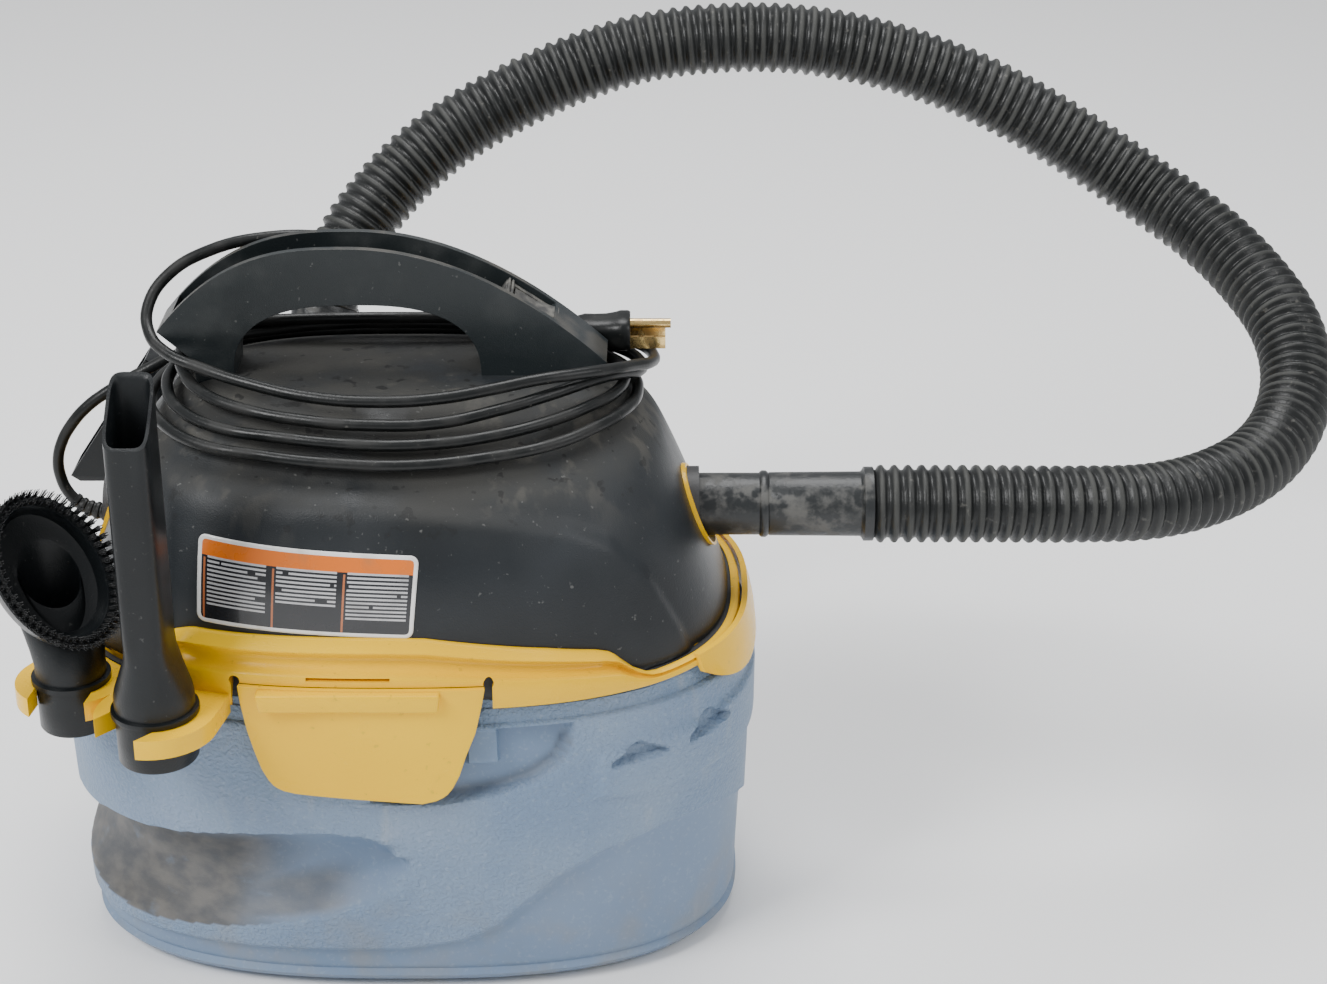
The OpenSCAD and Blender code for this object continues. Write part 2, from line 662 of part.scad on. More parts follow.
// The wound cord lies round the handle's feet, low at its front and right
coil_mid = [-9, -11];
coil_half = [121, 55];
coil_power = 3.4;
function bulge(v) = sign(v) * pow(abs(v), 2 / coil_power);
function coil_at(t) = [coil_mid[0] + coil_half[0] * bulge(cos(t)),
  coil_mid[1] + coil_half[1] * bulge(sin(t)), housing_top + 6 - 5 * cos(t) + 4.5 * sin(t)];
function coil_wide(t) = 7 + 4 * pow(sin(t), 2);
module cord_winding() {
  steps = 36;
  sides = 10;
  coil_tall = 7;
  pts = [for (i = [0 : steps - 1]) let (t = 360 * i / steps, c = coil_at(t),
      out = unit([cos(t) * coil_half[1], sin(t) * coil_half[0], 0]))
    for (k = [0 : sides - 1]) let (a = 360 * k / sides)
      c + out * coil_wide(t) * cos(a) + [0, 0, coil_tall * sin(a)]];
  faces = [for (i = [0 : steps - 1]) for (k = [0 : sides - 1])
    let (m = (k + 1) % sides, j = (i + 1) % steps)
    each [[i * sides + k, i * sides + m, j * sides + k], [i * sides + m, j * sides + m, j * sides + k]]];
  color([0.07, 0.07, 0.07]) difference() {
    polyhedron(pts, faces);
    plug_form(0.3);
  }
}

// Three-pin plug, lying on the housing beside the handle's foot
plug_at = [86, handle_width / 2 + 13, housing_top + 7];
module plug_form(extra) {
  translate(plug_at) rotate([0, 90, 0]) {
    translate([0, 0, -extra]) linear_extrude(29 + 2 * extra) scale([0.75, 1])
      circle(r = 12 + extra, $fn = 36);
    translate([0, 0, -20]) cylinder(r = 4.5 + extra, h = 20, $fn = 24);
  }
}
module plug_body() {
  color([0.07, 0.07, 0.07]) plug_form(0);
}
module plug_blades() {
  color([0.85, 0.7, 0.35]) translate(plug_at + [29, 0, 0]) for (side = [-1, 1])
    translate([-2, side * 6.35 - 0.8, -7]) cube([19.9, 1.6, 6.4]);
}
module plug_ground_pin() {
  color([0.85, 0.7, 0.35]) translate(plug_at + [27, 0, 4]) rotate([0, 90, 0])
    cylinder(r = 2.4, h = 22.6, $fn = 24);
}

// ---- hose ---------------------------------------------------------------------------------
hose_cuff_radius = port_bore - port_fit;
cuff_start = half_l - 43;
cuff_joint = half_l + 5;
cuff_end = half_l + 62;
module hose_port_cuff() {
  color([0.12, 0.12, 0.13]) translate([0, 0, port_z]) rotate([0, 90, 0]) difference() {
    union() {
      translate([0, 0, cuff_start]) cylinder(r = hose_cuff_radius, h = cuff_end - cuff_start, $fn = 48);
      translate([0, 0, cuff_joint]) cylinder(r = hose_cuff_radius + 1.2, h = 3, $fn = 48);
      translate([0, 0, cuff_end - 5]) cylinder(r = hose_radius - 1, h = 5, $fn = 48);
    }
    translate([0, 0, cuff_start - 1]) cylinder(r = hose_cuff_radius - 2.4, h = 200, $fn = 48);
  }
}
hose_route = [[239, 0, 222], [262, 0, 222], [300, 2, 221], [345, 8, 218], [385, 20, 214],
  [420, 40, 213], [450, 65, 217], [470, 92, 227], [480, 122, 243], [478, 155, 260], [464, 190, 276],
  [442, 220, 292], [412, 242, 309], [378, 255, 329], [340, 264, 350], [300, 269, 368],
  [255, 272, 382], [210, 272, 390], [165, 271, 391], [120, 268, 386], [78, 262, 374],
  [40, 254, 358], [8, 244, 341], [-18, 231, 322], [-38, 216, 302], [-51, 203, 283], [-58, 195, 268],
  [-61, 191, 259]];
hose_bore = 17;
module hose_tube() {
  color([0.12, 0.12, 0.13]) hollow_tube(hose_route, hose_radius, hose_bore, 12, [0, 0.35, -0.93]);
}
module hose_end_cuff() {
  color([0.12, 0.12, 0.13]) at_hose_end() difference() {
    translate([0, 0, -26]) cylinder(r = hose_end_r, h = hose_end_len, $fn = 48);
    translate([0, 0, -27]) cylinder(r = hose_end_r - 2.5, h = 100, $fn = 48);
  }
}

tank();
lid_ring();
lid_gasket();
front_latch();
rear_latch();
motor_housing();
warning_label();
handle();
power_switch();
switch_rocker();
hose_port_ring();
exhaust_port_ring();
inlet_elbow();
exhaust_duct();
fan_housing();
fan_impeller();
motor_mount();
motor_stator();
armature();
motor_shaft();
commutator();
brush_holders();
lower_bearing();
upper_bearing();
bearing_bridge();
filter_cage();
foam_filter();
float_valve();
housing_screws();
front_tool_fork();
rear_tool_fork();
hose_holder();
crevice_tool();
dusting_brush();
brush_bristles();
utility_nozzle();
cord_gland();
cord_lead();
cord_winding();
plug_body();
plug_blades();
plug_ground_pin();
hose_port_cuff();
hose_tube();
hose_end_cuff();
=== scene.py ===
import math
import random

import bmesh
import bpy
from mathutils import Matrix, Vector, noise
from mathutils.bvhtree import BVHTree


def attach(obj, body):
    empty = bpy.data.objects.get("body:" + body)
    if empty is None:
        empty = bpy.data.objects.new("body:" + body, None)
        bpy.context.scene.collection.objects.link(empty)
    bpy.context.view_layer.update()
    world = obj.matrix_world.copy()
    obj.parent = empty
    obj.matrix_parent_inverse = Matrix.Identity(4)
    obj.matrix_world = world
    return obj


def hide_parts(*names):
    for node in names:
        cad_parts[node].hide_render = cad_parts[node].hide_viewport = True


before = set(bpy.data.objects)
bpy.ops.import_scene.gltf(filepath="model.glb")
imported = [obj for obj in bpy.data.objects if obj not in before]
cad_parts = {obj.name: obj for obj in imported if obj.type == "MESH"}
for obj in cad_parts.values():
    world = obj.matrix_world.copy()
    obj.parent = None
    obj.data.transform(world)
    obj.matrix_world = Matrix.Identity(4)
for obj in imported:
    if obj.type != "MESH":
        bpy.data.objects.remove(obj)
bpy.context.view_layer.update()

# ---- viewpoint, floor and light ------------------------------------------------------------------
# The camera looks down at the vacuum's long front from a little above the
# handle. Floor and lamps are a pale studio and no part of the vacuum.
camera = bpy.data.objects.new("camera", bpy.data.cameras.new("camera"))
camera.data.sensor_width = 36
camera.data.lens = 72.43
camera.location = (0.1319, -1.2349, 0.8044)
camera.rotation_euler = (math.radians(65), 0, 0)
bpy.context.collection.objects.link(camera)
bpy.context.scene.camera = camera

floor_bm = bmesh.new()
bmesh.ops.create_grid(floor_bm, x_segments=1, y_segments=1, size=6)
floor_mesh = bpy.data.meshes.new("studio_floor")
floor_bm.to_mesh(floor_mesh)
floor_bm.free()
studio_floor = bpy.data.objects.new("studio_floor", floor_mesh)
bpy.context.collection.objects.link(studio_floor)
pale = bpy.data.materials.new("studio_pale")
pale.use_nodes = True
pale_inputs = pale.node_tree.nodes["Principled BSDF"].inputs
pale_inputs["Base Color"].default_value = (0.93, 0.93, 0.93, 1)
pale_inputs["Roughness"].default_value = 0.9
floor_mesh.materials.append(pale)

world = bpy.data.worlds.new("studio")
world.use_nodes = True
sky = world.node_tree.nodes["Background"].inputs
sky["Color"].default_value = (0.95, 0.97, 1, 1)
sky["Strength"].default_value = 0.55
bpy.context.scene.world = world
for lamp_name, place, width, power in (
        ("lamp_left", (-1.5, -1.2, 2.0), 1.0, 62),
        ("lamp_right", (1.8, -1.0, 1.6), 1.2, 18),
        ("lamp_top", (0.1, 0.7, 2.4), 1.4, 48)):
    lamp = bpy.data.objects.new(lamp_name, bpy.data.lights.new(lamp_name, "AREA"))
    lamp.data.size = width
    lamp.data.energy = power
    lamp.location = place
    lamp.rotation_euler = (Vector((0, 0, 0.2)) - Vector(place)).to_track_quat("-Z", "Y").to_euler()
    bpy.context.collection.objects.link(lamp)

# ---- tank ----------------------------------------------------------------------------------------
# A blow-moulded oval tank in light grey-blue polyethylene with a pebbled skin.
# A hand hold is scooped into its lower left, and smooth panels break its front.
MM = 0.001
PLAN_POWER = 2.6


def outline(turn, wide, deep, power=PLAN_POWER):
    """A point of a rounded oblong, by turn from 0 to 1; a power of 2 makes it an ellipse."""
    c, s = math.cos(math.tau * turn), math.sin(math.tau * turn)
    return (wide * math.copysign(abs(c) ** (2 / power), c),
            deep * math.copysign(abs(s) ** (2 / power), s))


def eased(x, start, end):
    """0 before start, 1 after end, and smooth between."""
    t = min(1, max(0, (x - start) / (end - start)))
    return t * t * (3 - 2 * t)


def straight(x, stops):
    """The values at x on straight lines through stops, (x, value, ...) in order."""
    if x <= stops[0][0]:
        return stops[0][1:]
    for a, b in zip(stops, stops[1:]):
        if x <= b[0]:
            t = (x - a[0]) / (b[0] - a[0])
            return tuple(p + (q - p) * t for p, q in zip(a[1:], b[1:]))
    return stops[-1][1:]


def finished(bm, name, *materials, smooth=40):
    """Makes the piece: rounded shading, with edges sharper than smooth kept crisp."""
    mesh = bpy.data.meshes.new(name)
    bm.to_mesh(mesh)
    bm.free()
    for m in materials:
        mesh.materials.append(m)
    mesh.shade_smooth()
    if smooth:
        mesh.set_sharp_from_angle(angle=math.radians(smooth))
    piece = bpy.data.objects.new(name, mesh)
    bpy.context.collection.objects.link(piece)
    return piece


def belongs(piece, body, slot, *nodes):
    """Says which body the piece rides, and the CAD nodes it stands for; slot, what it is made of, is not
    used.
    """
    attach(piece, body)
    if nodes:
        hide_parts(*nodes)


def bent_grid(across, rows, place):
    """A grid bent onto place(u, v), in millimetres, with the edges that meet joined.
    Its uv map keeps u and v."""
    bm = bmesh.new()
    bmesh.ops.create_grid(bm, x_segments=across, y_segments=rows, size=0.5)
    chart = bm.loops.layers.uv.new("uv")
    for face in bm.faces:
        for corner in face.loops:
            corner[chart].uv = (corner.vert.co.x + 0.5, corner.vert.co.y + 0.5)
    for v in bm.verts:
        v.co = Vector(place(v.co.x + 0.5, v.co.y + 0.5)) * MM
    bmesh.ops.remove_doubles(bm, verts=bm.verts, dist=2e-6)
    bmesh.ops.recalc_face_normals(bm, faces=bm.faces)
    return bm


class Finish:
    """A material under way: its nodes are added by name, and joined by socket."""

    def __init__(self, name, roughness, **sockets):
        self.material = bpy.data.materials.new(name)
        self.material.use_nodes = True
        self.tree = self.material.node_tree
        self.shader = self.tree.nodes["Principled BSDF"]
        self.shader.inputs["Roughness"].default_value = roughness
        for socket, value in sockets.items():
            self.shader.inputs[socket.replace("_", " ")].default_value = value
        self.place = self.node("ShaderNodeTexCoord").outputs["Object"]
        self.tone = self.height = None

    def node(self, kind, **settings):
        made = self.tree.nodes.new(kind)
        for key, value in settings.items():
            setattr(made, key, value)
        return made

    def join(self, a, b):
        self.tree.links.new(a, b)

    def speckle(self, scale, low, high, detail=3, stretch=(1, 1, 1), rough=0.5):
        """Cloudy noise from 0 below low to 1 above high; scale is per metre."""
        mapped = self.node("ShaderNodeMapping")
        mapped.inputs["Scale"].default_value = stretch
        self.join(self.place, mapped.inputs["Vector"])
        cloud = self.node("ShaderNodeTexNoise")
        cloud.inputs["Scale"].default_value = scale
        cloud.inputs["Detail"].default_value = detail
        cloud.inputs["Roughness"].default_value = rough
        self.join(mapped.outputs["Vector"], cloud.inputs["Vector"])
        return self.ramp(cloud.outputs["Fac"], low, high)

    def ramp(self, value, low, high, to_low=0, to_high=1):
        reach = self.node("ShaderNodeMapRange", interpolation_type="SMOOTHSTEP")
        for socket, number in zip(("From Min", "From Max", "To Min", "To Max"),
                                  (low, high, to_low, to_high)):
            reach.inputs[socket].default_value = number
        self.join(value, reach.inputs["Value"])
        return reach.outputs["Result"]

    def maths(self, kind, a, b):
        made = self.node("ShaderNodeMath", operation=kind, use_clamp=kind != "SUBTRACT")
        for socket, value in zip(made.inputs, (a, b)):
            if isinstance(value, (int, float)):
                socket.default_value = value
            else:
                self.join(value, socket)
        return made.outputs["Value"]

    def times(self, a, b):
        return self.maths("MULTIPLY", a, b)

    def upward(self, low, high):
        """1 where the surface faces up, 0 where it doesn't."""
        parts = self.node("ShaderNodeSeparateXYZ")
        self.join(self.node("ShaderNodeTexCoord").outputs["Normal"], parts.inputs["Vector"])
        return self.ramp(parts.outputs["Z"], low, high)

    def height_at(self, low, high):
        """0 below low, in metres, and 1 above high."""
        parts = self.node("ShaderNodeSeparateXYZ")
        self.join(self.place, parts.inputs["Vector"])
        return self.ramp(parts.outputs["Z"], low, high)

    def painted(self, attribute):
        """What the piece's own attribute says at each point."""
        return self.node("ShaderNodeAttribute", attribute_name=attribute).outputs["Fac"]

    def blend(self, share, first, second):
        """A colour between first and second."""
        mix = self.node("ShaderNodeMix", data_type="RGBA")
        self.join(share, mix.inputs["Factor"])
        for socket, value in ((mix.inputs["A"], first), (mix.inputs["B"], second)):
            if isinstance(value, tuple):
                socket.default_value = (*value, 1)
            else:
                self.join(value, socket)
        return mix.outputs["Result"]

    def base(self, share, first, second):
        """Colours the surface between first and second, by share."""
        self.tone = self.blend(share, first, second)
        self.join(self.tone, self.shader.inputs["Base Color"])
        return self

    def over(self, share, amount, colour):
        """Lays another colour over it, by share times amount."""
        return self.base(self.times(share, amount), self.tone, colour)

    def shine(self, value, smooth, dull):
        """Roughness between smooth and dull, by value."""
        self.join(self.ramp(value, 0, 1, smooth, dull), self.shader.inputs["Roughness"])
        return self

    def bumped(self, value, depth, strength=1.0):
        """Raises the surface by value; depth is in metres."""
        bump = self.node("ShaderNodeBump")
        bump.inputs["Distance"].default_value = depth
        bump.inputs["Strength"].default_value = strength
        self.join(value, bump.inputs["Height"])
        if self.height:
            self.join(self.height, bump.inputs["Normal"])
        self.height = bump.outputs["Normal"]
        self.join(self.height, self.shader.inputs["Normal"])
        return self


HALF_LONG, HALF_DEEP = 177, 121.5
TANK_WALL = ((0, 60, 60), (0, 22, 28), (1, 17, 22.5), (5, 9, 14.5), (14, 4, 9.5), (35, 3.2, 7.5),
             (60, 2, 6), (90, 1, 3.6), (115, 0.3, 1.6), (141, 0, 0), (157.5, 1.2, 0.5),
             (159.5, 2, 0.9), (160.5, 4.5, 2.4), (168, 6, 2.8), (168.5, 9.5, 3.4),
             (172.6, 9.5, 3.4), (173, 10, 3.9))
SCOOP_EDGE = ((-260, 84), (-170, 88), (-113, 90), (-77, 95), (-36, 98), (-16, 96), (-7, 92), (-1, 86),
              (2, 79))
SCOOP_FOOT = ((-260, 42), (-170, 33), (-140, 31), (-82, 38), (-40, 46), (-20, 53), (-8, 60), (-1, 69),
              (2, 77))
RECESS_FOOT = ((-16, 136), (-13, 123), (-6, 117), (18, 116), (52, 121), (70, 127), (80, 134), (86, 146),
               (88.5, 158))
WAVE = ((-480, 24), (-200, 24), (0, 28), (32, 33), (50, 42), (64, 55), (80, 69), (104, 82),
        (138, 89), (165, 88), (200, 78), (260, 48), (330, 26), (480, 24))
SCOOP_DEEP, WAVE_DEEP, RECESS_DEEP, SHELF_HIGH, POCKET_DEEP = 20, 3, 7.5, 2.6, 5
GIRTH_LONG, GIRTH_DEEP, GIRTH_STEPS = 174, 118, 720
girth = [0.0]
for step in range(1, GIRTH_STEPS + 1):
    a, b = (Vector(outline(t / GIRTH_STEPS - 0.25, GIRTH_LONG, GIRTH_DEEP)) for t in (step - 1, step))
    girth.append(girth[-1] + (b - a).length)


def round_front(turn):
    """Millimetres round the tank from the middle of its front, positive to the right."""
    t = (turn + 0.25) % 1 * GIRTH_STEPS
    i = min(GIRTH_STEPS - 1, int(t))
    run = girth[i] + (girth[i + 1] - girth[i]) * (t - i)
    return run if run < girth[-1] / 2 else run - girth[-1]


def tank_relief(s, z):
    """How far the skin stands in, how smooth it is, and how much brown soil and painted shade it gets, at s
    round the front.
    """
    inset, smooth, soil_and_shade = 0.0, 0.0, 0.0
    edge, foot = straight(s, SCOOP_EDGE)[0], straight(s, SCOOP_FOOT)[0]
    if -262 < s < 2 and foot < z < edge:
        down = (edge - z) / (edge - foot)
        reach = max(0, 1 - abs((s + 122) / 142) ** 5)
        deep = 0.24 + 0.2 * eased(s, -110, -20)
        bowl = (math.sin(math.pi / 2 * down / deep) ** 0.75 if down < deep
                else math.cos(math.pi / 2 * (down - deep) / (1 - deep)) ** 1.1)
        inset += SCOOP_DEEP * reach * bowl
        smooth = 1
        # Brown dirt on the scoop's left and low down, with painted shade under its overhanging upper lip.
        left = 1 - eased(s, -105, -40)
        low = eased(down, 0.45, 0.7) * (1 - eased(down, 0.9, 1)) * (1 - eased(s, -45, -12))
        soil_and_shade = max(eased(down, 0.02, 0.3) * left, 0.75 * low) * min(1, 2 * reach)
    below = straight(s, WAVE)[0] - z
    if 0 < below:
        inset += WAVE_DEEP * eased(below, 0, 3.5) if z >= 8 else 0
        smooth = max(smooth, eased(below, 0, 2))
    if 110 < z < 158.5 and -16 < s < 89:
        over = z - straight(s, RECESS_FOOT)[0]
        pane = (eased(s, -16, -12) * (1 - eased(s, 85, 88.5)) * eased(over, -1, 2.6)
                * (1 - eased(z, 157, 158.4)))
        boss = (eased(s, 34, 37) - eased(s, 51, 54)) * eased(z, 136, 139)
        inset += RECESS_DEEP * pane * (1 - 0.8 * boss)
        smooth = max(smooth, pane)
        # The recess goes darker towards its foot.
        soil_and_shade = max(soil_and_shade, 0.5 * pane * (1 - eased(over, 2, 9)))
    shelf_top = 139 + 5 * eased(s, 110, 190)
    shelf = ((eased(s, 96, 103) - eased(s, 240, 262))
             * eased(z, 111, 115) * (1 - eased(z, shelf_top - 1.5, shelf_top + 1.5)))
    inset -= SHELF_HIGH * shelf
    for start, end, peak in ((106, 134, 7), (148, 176, 8)):
        if start < s < end:
            rise = peak * (1 - abs((s - start) / (end - start) * 2 - 1) ** 1.4)
            pocket = (eased(z, shelf_top - 9, shelf_top - 6)
                      * (1 - eased(z, shelf_top - 7 + rise, shelf_top - 4.5 + rise)))
            inset += POCKET_DEEP * pocket
            # The pockets are a little darker.
            soil_and_shade = max(soil_and_shade, 0.2 * pocket)
    return inset, smooth, soil_and_shade


TANK_LINING = ((14, 9, 15), (60, 7, 11), (120, 5, 6.6), (155, 12.5, 6.6))
tank_heights = [TANK_WALL[0], TANK_WALL[1], TANK_WALL[2], (2.5, 13, 18.5), TANK_WALL[3],
                (9, 6, 11.5)] + [
    (z, *straight(z, TANK_WALL)) for z in [12 + 1.25 * i for i in range(117)]] + [
    (158.5, 1.4, 0.6), (159.5, 2, 0.9), (160.5, 4.5, 2.4), (164, 5.4, 2.6), (168, 6, 2.8),
    (168.5, 9.5, 3.4), (172.6, 9.5, 3.4), (173, 10, 3.9), (173, 12, 6), (172.5, 12.5, 6.4),
    (155, 12.5, 6.4), *((z, *straight(z, TANK_LINING)) for z in [150 - 4 * i for i in range(34)]),
    (5, 16, 22), (4, 26, 34)]
TANK_ROWS = len(tank_heights) + 1


def tank_place(u, v):
    i = round(v * TANK_ROWS)
    if i == 0 or i == TANK_ROWS:
        return 0, 0, 0 if i == 0 else 4
    z, long_in, deep_in = tank_heights[i - 1]
    if i > 6 and 12 <= z <= 158.5:
        inset = tank_relief(round_front(u), z)[0]
        long_in, deep_in = long_in + inset, deep_in + inset
    return *outline(u, HALF_LONG - long_in, HALF_DEEP - deep_in), z


tank_bm = bent_grid(460, TANK_ROWS, tank_place)
smooth_layer = tank_bm.verts.layers.float.new("smooth")
soil_and_shade_layer = tank_bm.verts.layers.float.new("soil_and_shade")
for v in tank_bm.verts:
    turn = math.atan2(*(math.copysign(abs(at / MM / half) ** (PLAN_POWER / 2), at)
                        for at, half in ((v.co.y, GIRTH_DEEP), (v.co.x, GIRTH_LONG)))) / math.tau
    _, v[smooth_layer], v[soil_and_shade_layer] = tank_relief(round_front(turn), v.co.z / MM)
pebbled = Finish("pebbled_grey", 0.5, Specular_IOR_Level=0.28)
grain = pebbled.speckle(520, 0.3, 0.7, 2)
# Brown dirt, and painted shade under the scoop's upper lip, laid by the tank's soil attribute; it also
# darkens the recess foot and the pockets.
grime_and_shade = pebbled.times(pebbled.painted("soil_and_shade"), pebbled.speckle(60, 0.05, 0.42, 6, (1, 1, 1.8)))
haze = pebbled.speckle(14, 0.35, 0.75, 4)
foot_dirt = pebbled.times(pebbled.maths("SUBTRACT", 1, pebbled.height_at(0.004, 0.09)),
                          pebbled.speckle(38, 0.42, 0.7, 5))
dirt_and_shade_brown = pebbled.blend(pebbled.speckle(70, 0.3, 0.75, 6, (1, 1, 2)),
                      (0.06, 0.052, 0.04), (0.13, 0.112, 0.085))
pebbled.base(haze, (0.165, 0.24, 0.355), (0.225, 0.295, 0.4))
pebbled.over(pebbled.painted("smooth"), 0.45, (0.14, 0.2, 0.3))
pebbled.over(pebbled.speckle(420, 0.55, 0.75, 2), 0.22, (0.36, 0.42, 0.5))
pebbled.over(foot_dirt, 0.55, (0.24, 0.24, 0.23))
pebbled.over(pebbled.speckle(55, 0.6, 0.8, 5, (1, 1, 0.25)), 0.3, (0.4, 0.42, 0.42))
pebbled.over(grime_and_shade, 0.85, dirt_and_shade_brown).shine(haze, 0.42, 0.6)
rough_skin = pebbled.maths("SUBTRACT", 1, pebbled.painted("smooth"))
pebbled.bumped(pebbled.times(grain, rough_skin), 0.0006, 0.9)
pebbled.bumped(pebbled.speckle(1500, 0.2, 0.8, 1), 0.0001, 0.3)
tank = finished(tank_bm, "tank_shell", pebbled.material, smooth=50)
belongs(tank, "tank", "tank_plastic", "tank")

# ---- lid ring ------------------------------------------------------------------------------------
# One yellow moulding that closes the tank and carries the black head. Its wall
# is a skirt, a cove and a ledge at the front, and steps down to a thin rim and
# a tab at each end.
RING_TOP = ((-200, 177), (-133, 177), (-128, 178), (-122, 182), (-115, 196), (-109, 204.5), (-101, 207),
            (0, 207), (20, 206.5), (82, 198), (106, 193.5), (113, 191), (121, 182), (127, 178),
            (132, 177), (200, 177))
GAP_HALF, GAP_CENTRE, GAP_TOP = 62.5, -12, 184.6
RING_LOW = 172


# each row: share of the wall's height, millimetres in from the outer plan
RING_WALL = ((0.04, 3), (0.0, 2.2), (0.0, 0.6), (0.03, 0), (0.25, 0.1), (0.47, 0.4), (0.50, 0.9),
             (0.53, 2.6), (0.58, 5.8), (0.66, 7.4), (0.74, 7.2), (0.79, 5.4), (0.81, 3.6),
             (0.83, 2.4), (0.86, 2.2), (0.97, 6.6), (1.0, 8.0), (1.0, 9.5), (0.97, 12.5),
             (0.6, 12.5), (0.25, 8), (0.12, 3.2))


def ring_place(u, v):
    share, inward = RING_WALL[round(v * len(RING_WALL)) % len(RING_WALL)]
    x, y = outline(u, HALF_LONG - 5.5, HALF_DEEP + 4.5)
    inward *= 1 - 0.62 * eased(abs(x), 112, 128)
    z = RING_LOW + share * (straight(x, RING_TOP)[0] - RING_LOW)
    reach = 1 - inward / math.hypot(x, y)
    return x * reach, y * reach, z


yellow = Finish("yellow_moulding", 0.36, Specular_IOR_Level=0.28)
rubbed = yellow.speckle(26, 0.5, 0.8, 5)
yellow.base(yellow.speckle(9, 0.35, 0.7, 2), (0.86, 0.49, 0.0), (0.92, 0.55, 0.0))
yellow.over(rubbed, 0.16, (0.68, 0.4, 0.01))
yellow.over(yellow.speckle(240, 0.66, 0.76, 3), 0.35, (0.35, 0.22, 0.03))
yellow.shine(rubbed, 0.26, 0.46).bumped(yellow.speckle(1100, 0.3, 0.7, 1), 0.00006, 0.5)
ring_bm = bent_grid(420, len(RING_WALL), ring_place)


def cut_with(piece, *cutters):
    """Cuts the cutters' shapes out of the piece, and removes them."""
    for cutter in cutters:
        boolean = piece.modifiers.new("cut", "BOOLEAN")
        boolean.operation = "DIFFERENCE"
        boolean.solver = "EXACT"
        boolean.object = cutter
    kept = bpy.data.meshes.new_from_object(piece.evaluated_get(bpy.context.evaluated_depsgraph_get()))
    piece.modifiers.clear()
    piece.data = kept
    for cutter in cutters:
        bpy.data.objects.remove(cutter)
    return piece


def cube(size):
    bm = bmesh.new()
    bmesh.ops.create_cube(bm, size=1)
    bmesh.ops.scale(bm, verts=bm.verts, vec=Vector(size) * MM)
    return bm


def block(name, low, high):
    bm = cube(Vector(high) - Vector(low))
    bmesh.ops.translate(bm, verts=bm.verts, vec=(Vector(low) + Vector(high)) / 2 * MM)
    return finished(bm, name, smooth=0)


def aimed(start, run):
    """The place of a bar whose middle is half of run from start, in metres, and which lies along it."""
    return Matrix.Translation(start + run / 2) @ run.to_track_quat("Z", "Y").to_matrix().to_4x4()


def rod(name, start, end, radius, sides=32):
    """A solid round bar between two points, in millimetres."""
    bm = bmesh.new()
    run = (Vector(end) - Vector(start)) * MM
    bmesh.ops.create_cone(bm, segments=sides, radius1=radius * MM, radius2=radius * MM,
                          depth=run.length, cap_ends=True)
    bmesh.ops.transform(bm, matrix=aimed(Vector(start) * MM, run), verts=bm.verts)
    return finished(bm, name, smooth=0)


lid_ring = finished(ring_bm, "lid_ring_wall", yellow.material, smooth=50)
gap_low, gap_high = GAP_CENTRE - GAP_HALF, GAP_CENTRE + GAP_HALF
cutters = []
for side in (-1, 1):
    near, far = sorted((side * 100, side * 140))
    cutters.append(block("gap", (gap_low, near, 160), (gap_high, far, GAP_TOP)))
    for x in (gap_low + 1.8, gap_high - 1.8):
        cutters.append(rod("relief", (x, side * 100, GAP_TOP + 1), (x, side * 140, GAP_TOP + 1), 2.6))
cutters.append(block("slot", (-38, -140, 187.4), (2, -112, 189.2)))
cut_with(lid_ring, *cutters)
lid_ring.data.set_sharp_from_angle(angle=math.radians(50))
belongs(lid_ring, "head", "yellow_plastic", "lid_ring")


def drawn_out(bm, x, y, z):
    """Draws bm's flat face out by that many millimetres, with its faces turned outwards."""
    grown = bmesh.ops.extrude_face_region(bm, geom=bm.faces[:])
    bmesh.ops.translate(bm, vec=Vector((x, y, z)) * MM,
                        verts=[g for g in grown["geom"] if isinstance(g, bmesh.types.BMVert)])
    bmesh.ops.recalc_face_normals(bm, faces=bm.faces)


DECK_LOW, DECK_THICK, MOTOR_HOLE, INLET_HOLE = 176, 3, 42, 20
deck_bm = bmesh.new()
bmesh.ops.create_circle(deck_bm, cap_ends=True, segments=160, radius=1)
for i, v in enumerate(deck_bm.verts):
    x, y = outline(math.atan2(v.co.y, v.co.x) / math.tau, HALF_LONG - 13, HALF_DEEP - 6)
    v.co = Vector((x, y, DECK_LOW)) * MM
drawn_out(deck_bm, 0, 0, DECK_THICK)
lid_deck = finished(deck_bm, "lid_deck", yellow.material)
cut_with(lid_deck, rod("hole", (-20, 0, 170), (-20, 0, 190), MOTOR_HOLE, 64),
         rod("hole", (92, 0, 170), (92, 0, 190), INLET_HOLE, 48))
belongs(lid_deck, "head", "yellow_plastic")

for side, end in ((1, "right"), (-1, "left")):
    def tab_place(u, v):
        along_tab, tall = (u - 0.5) * 2, v
        rows = ((154, 1.2), (153, 0.2), (153.4, -1.2), (158, -1.8), (166, -2.6), (172, -4.4),
                (178, -6.2), (178, -3.2), (171, -1.2), (164, 0.4), (156, 1.4))
        z, out = rows[round(v * len(rows)) % len(rows)]
        rise = 16 * abs(along_tab) ** 3
        z = max(z, 153 + rise) if z < 172 else z
        x, y = outline(0.62 * along_tab / math.tau, HALF_LONG + 1.6, HALF_DEEP + 3)
        reach = 1 + out / math.hypot(x, y)
        return side * x * reach, y * reach, z
    tab_bm = bent_grid(28, 11, tab_place)
    bmesh.ops.holes_fill(tab_bm, edges=tab_bm.edges)
    bmesh.ops.recalc_face_normals(tab_bm, faces=tab_bm.faces)
    tab = finished(tab_bm, f"lid_tab_{end}", yellow.material, smooth=50)
    belongs(tab, "head", "yellow_plastic")

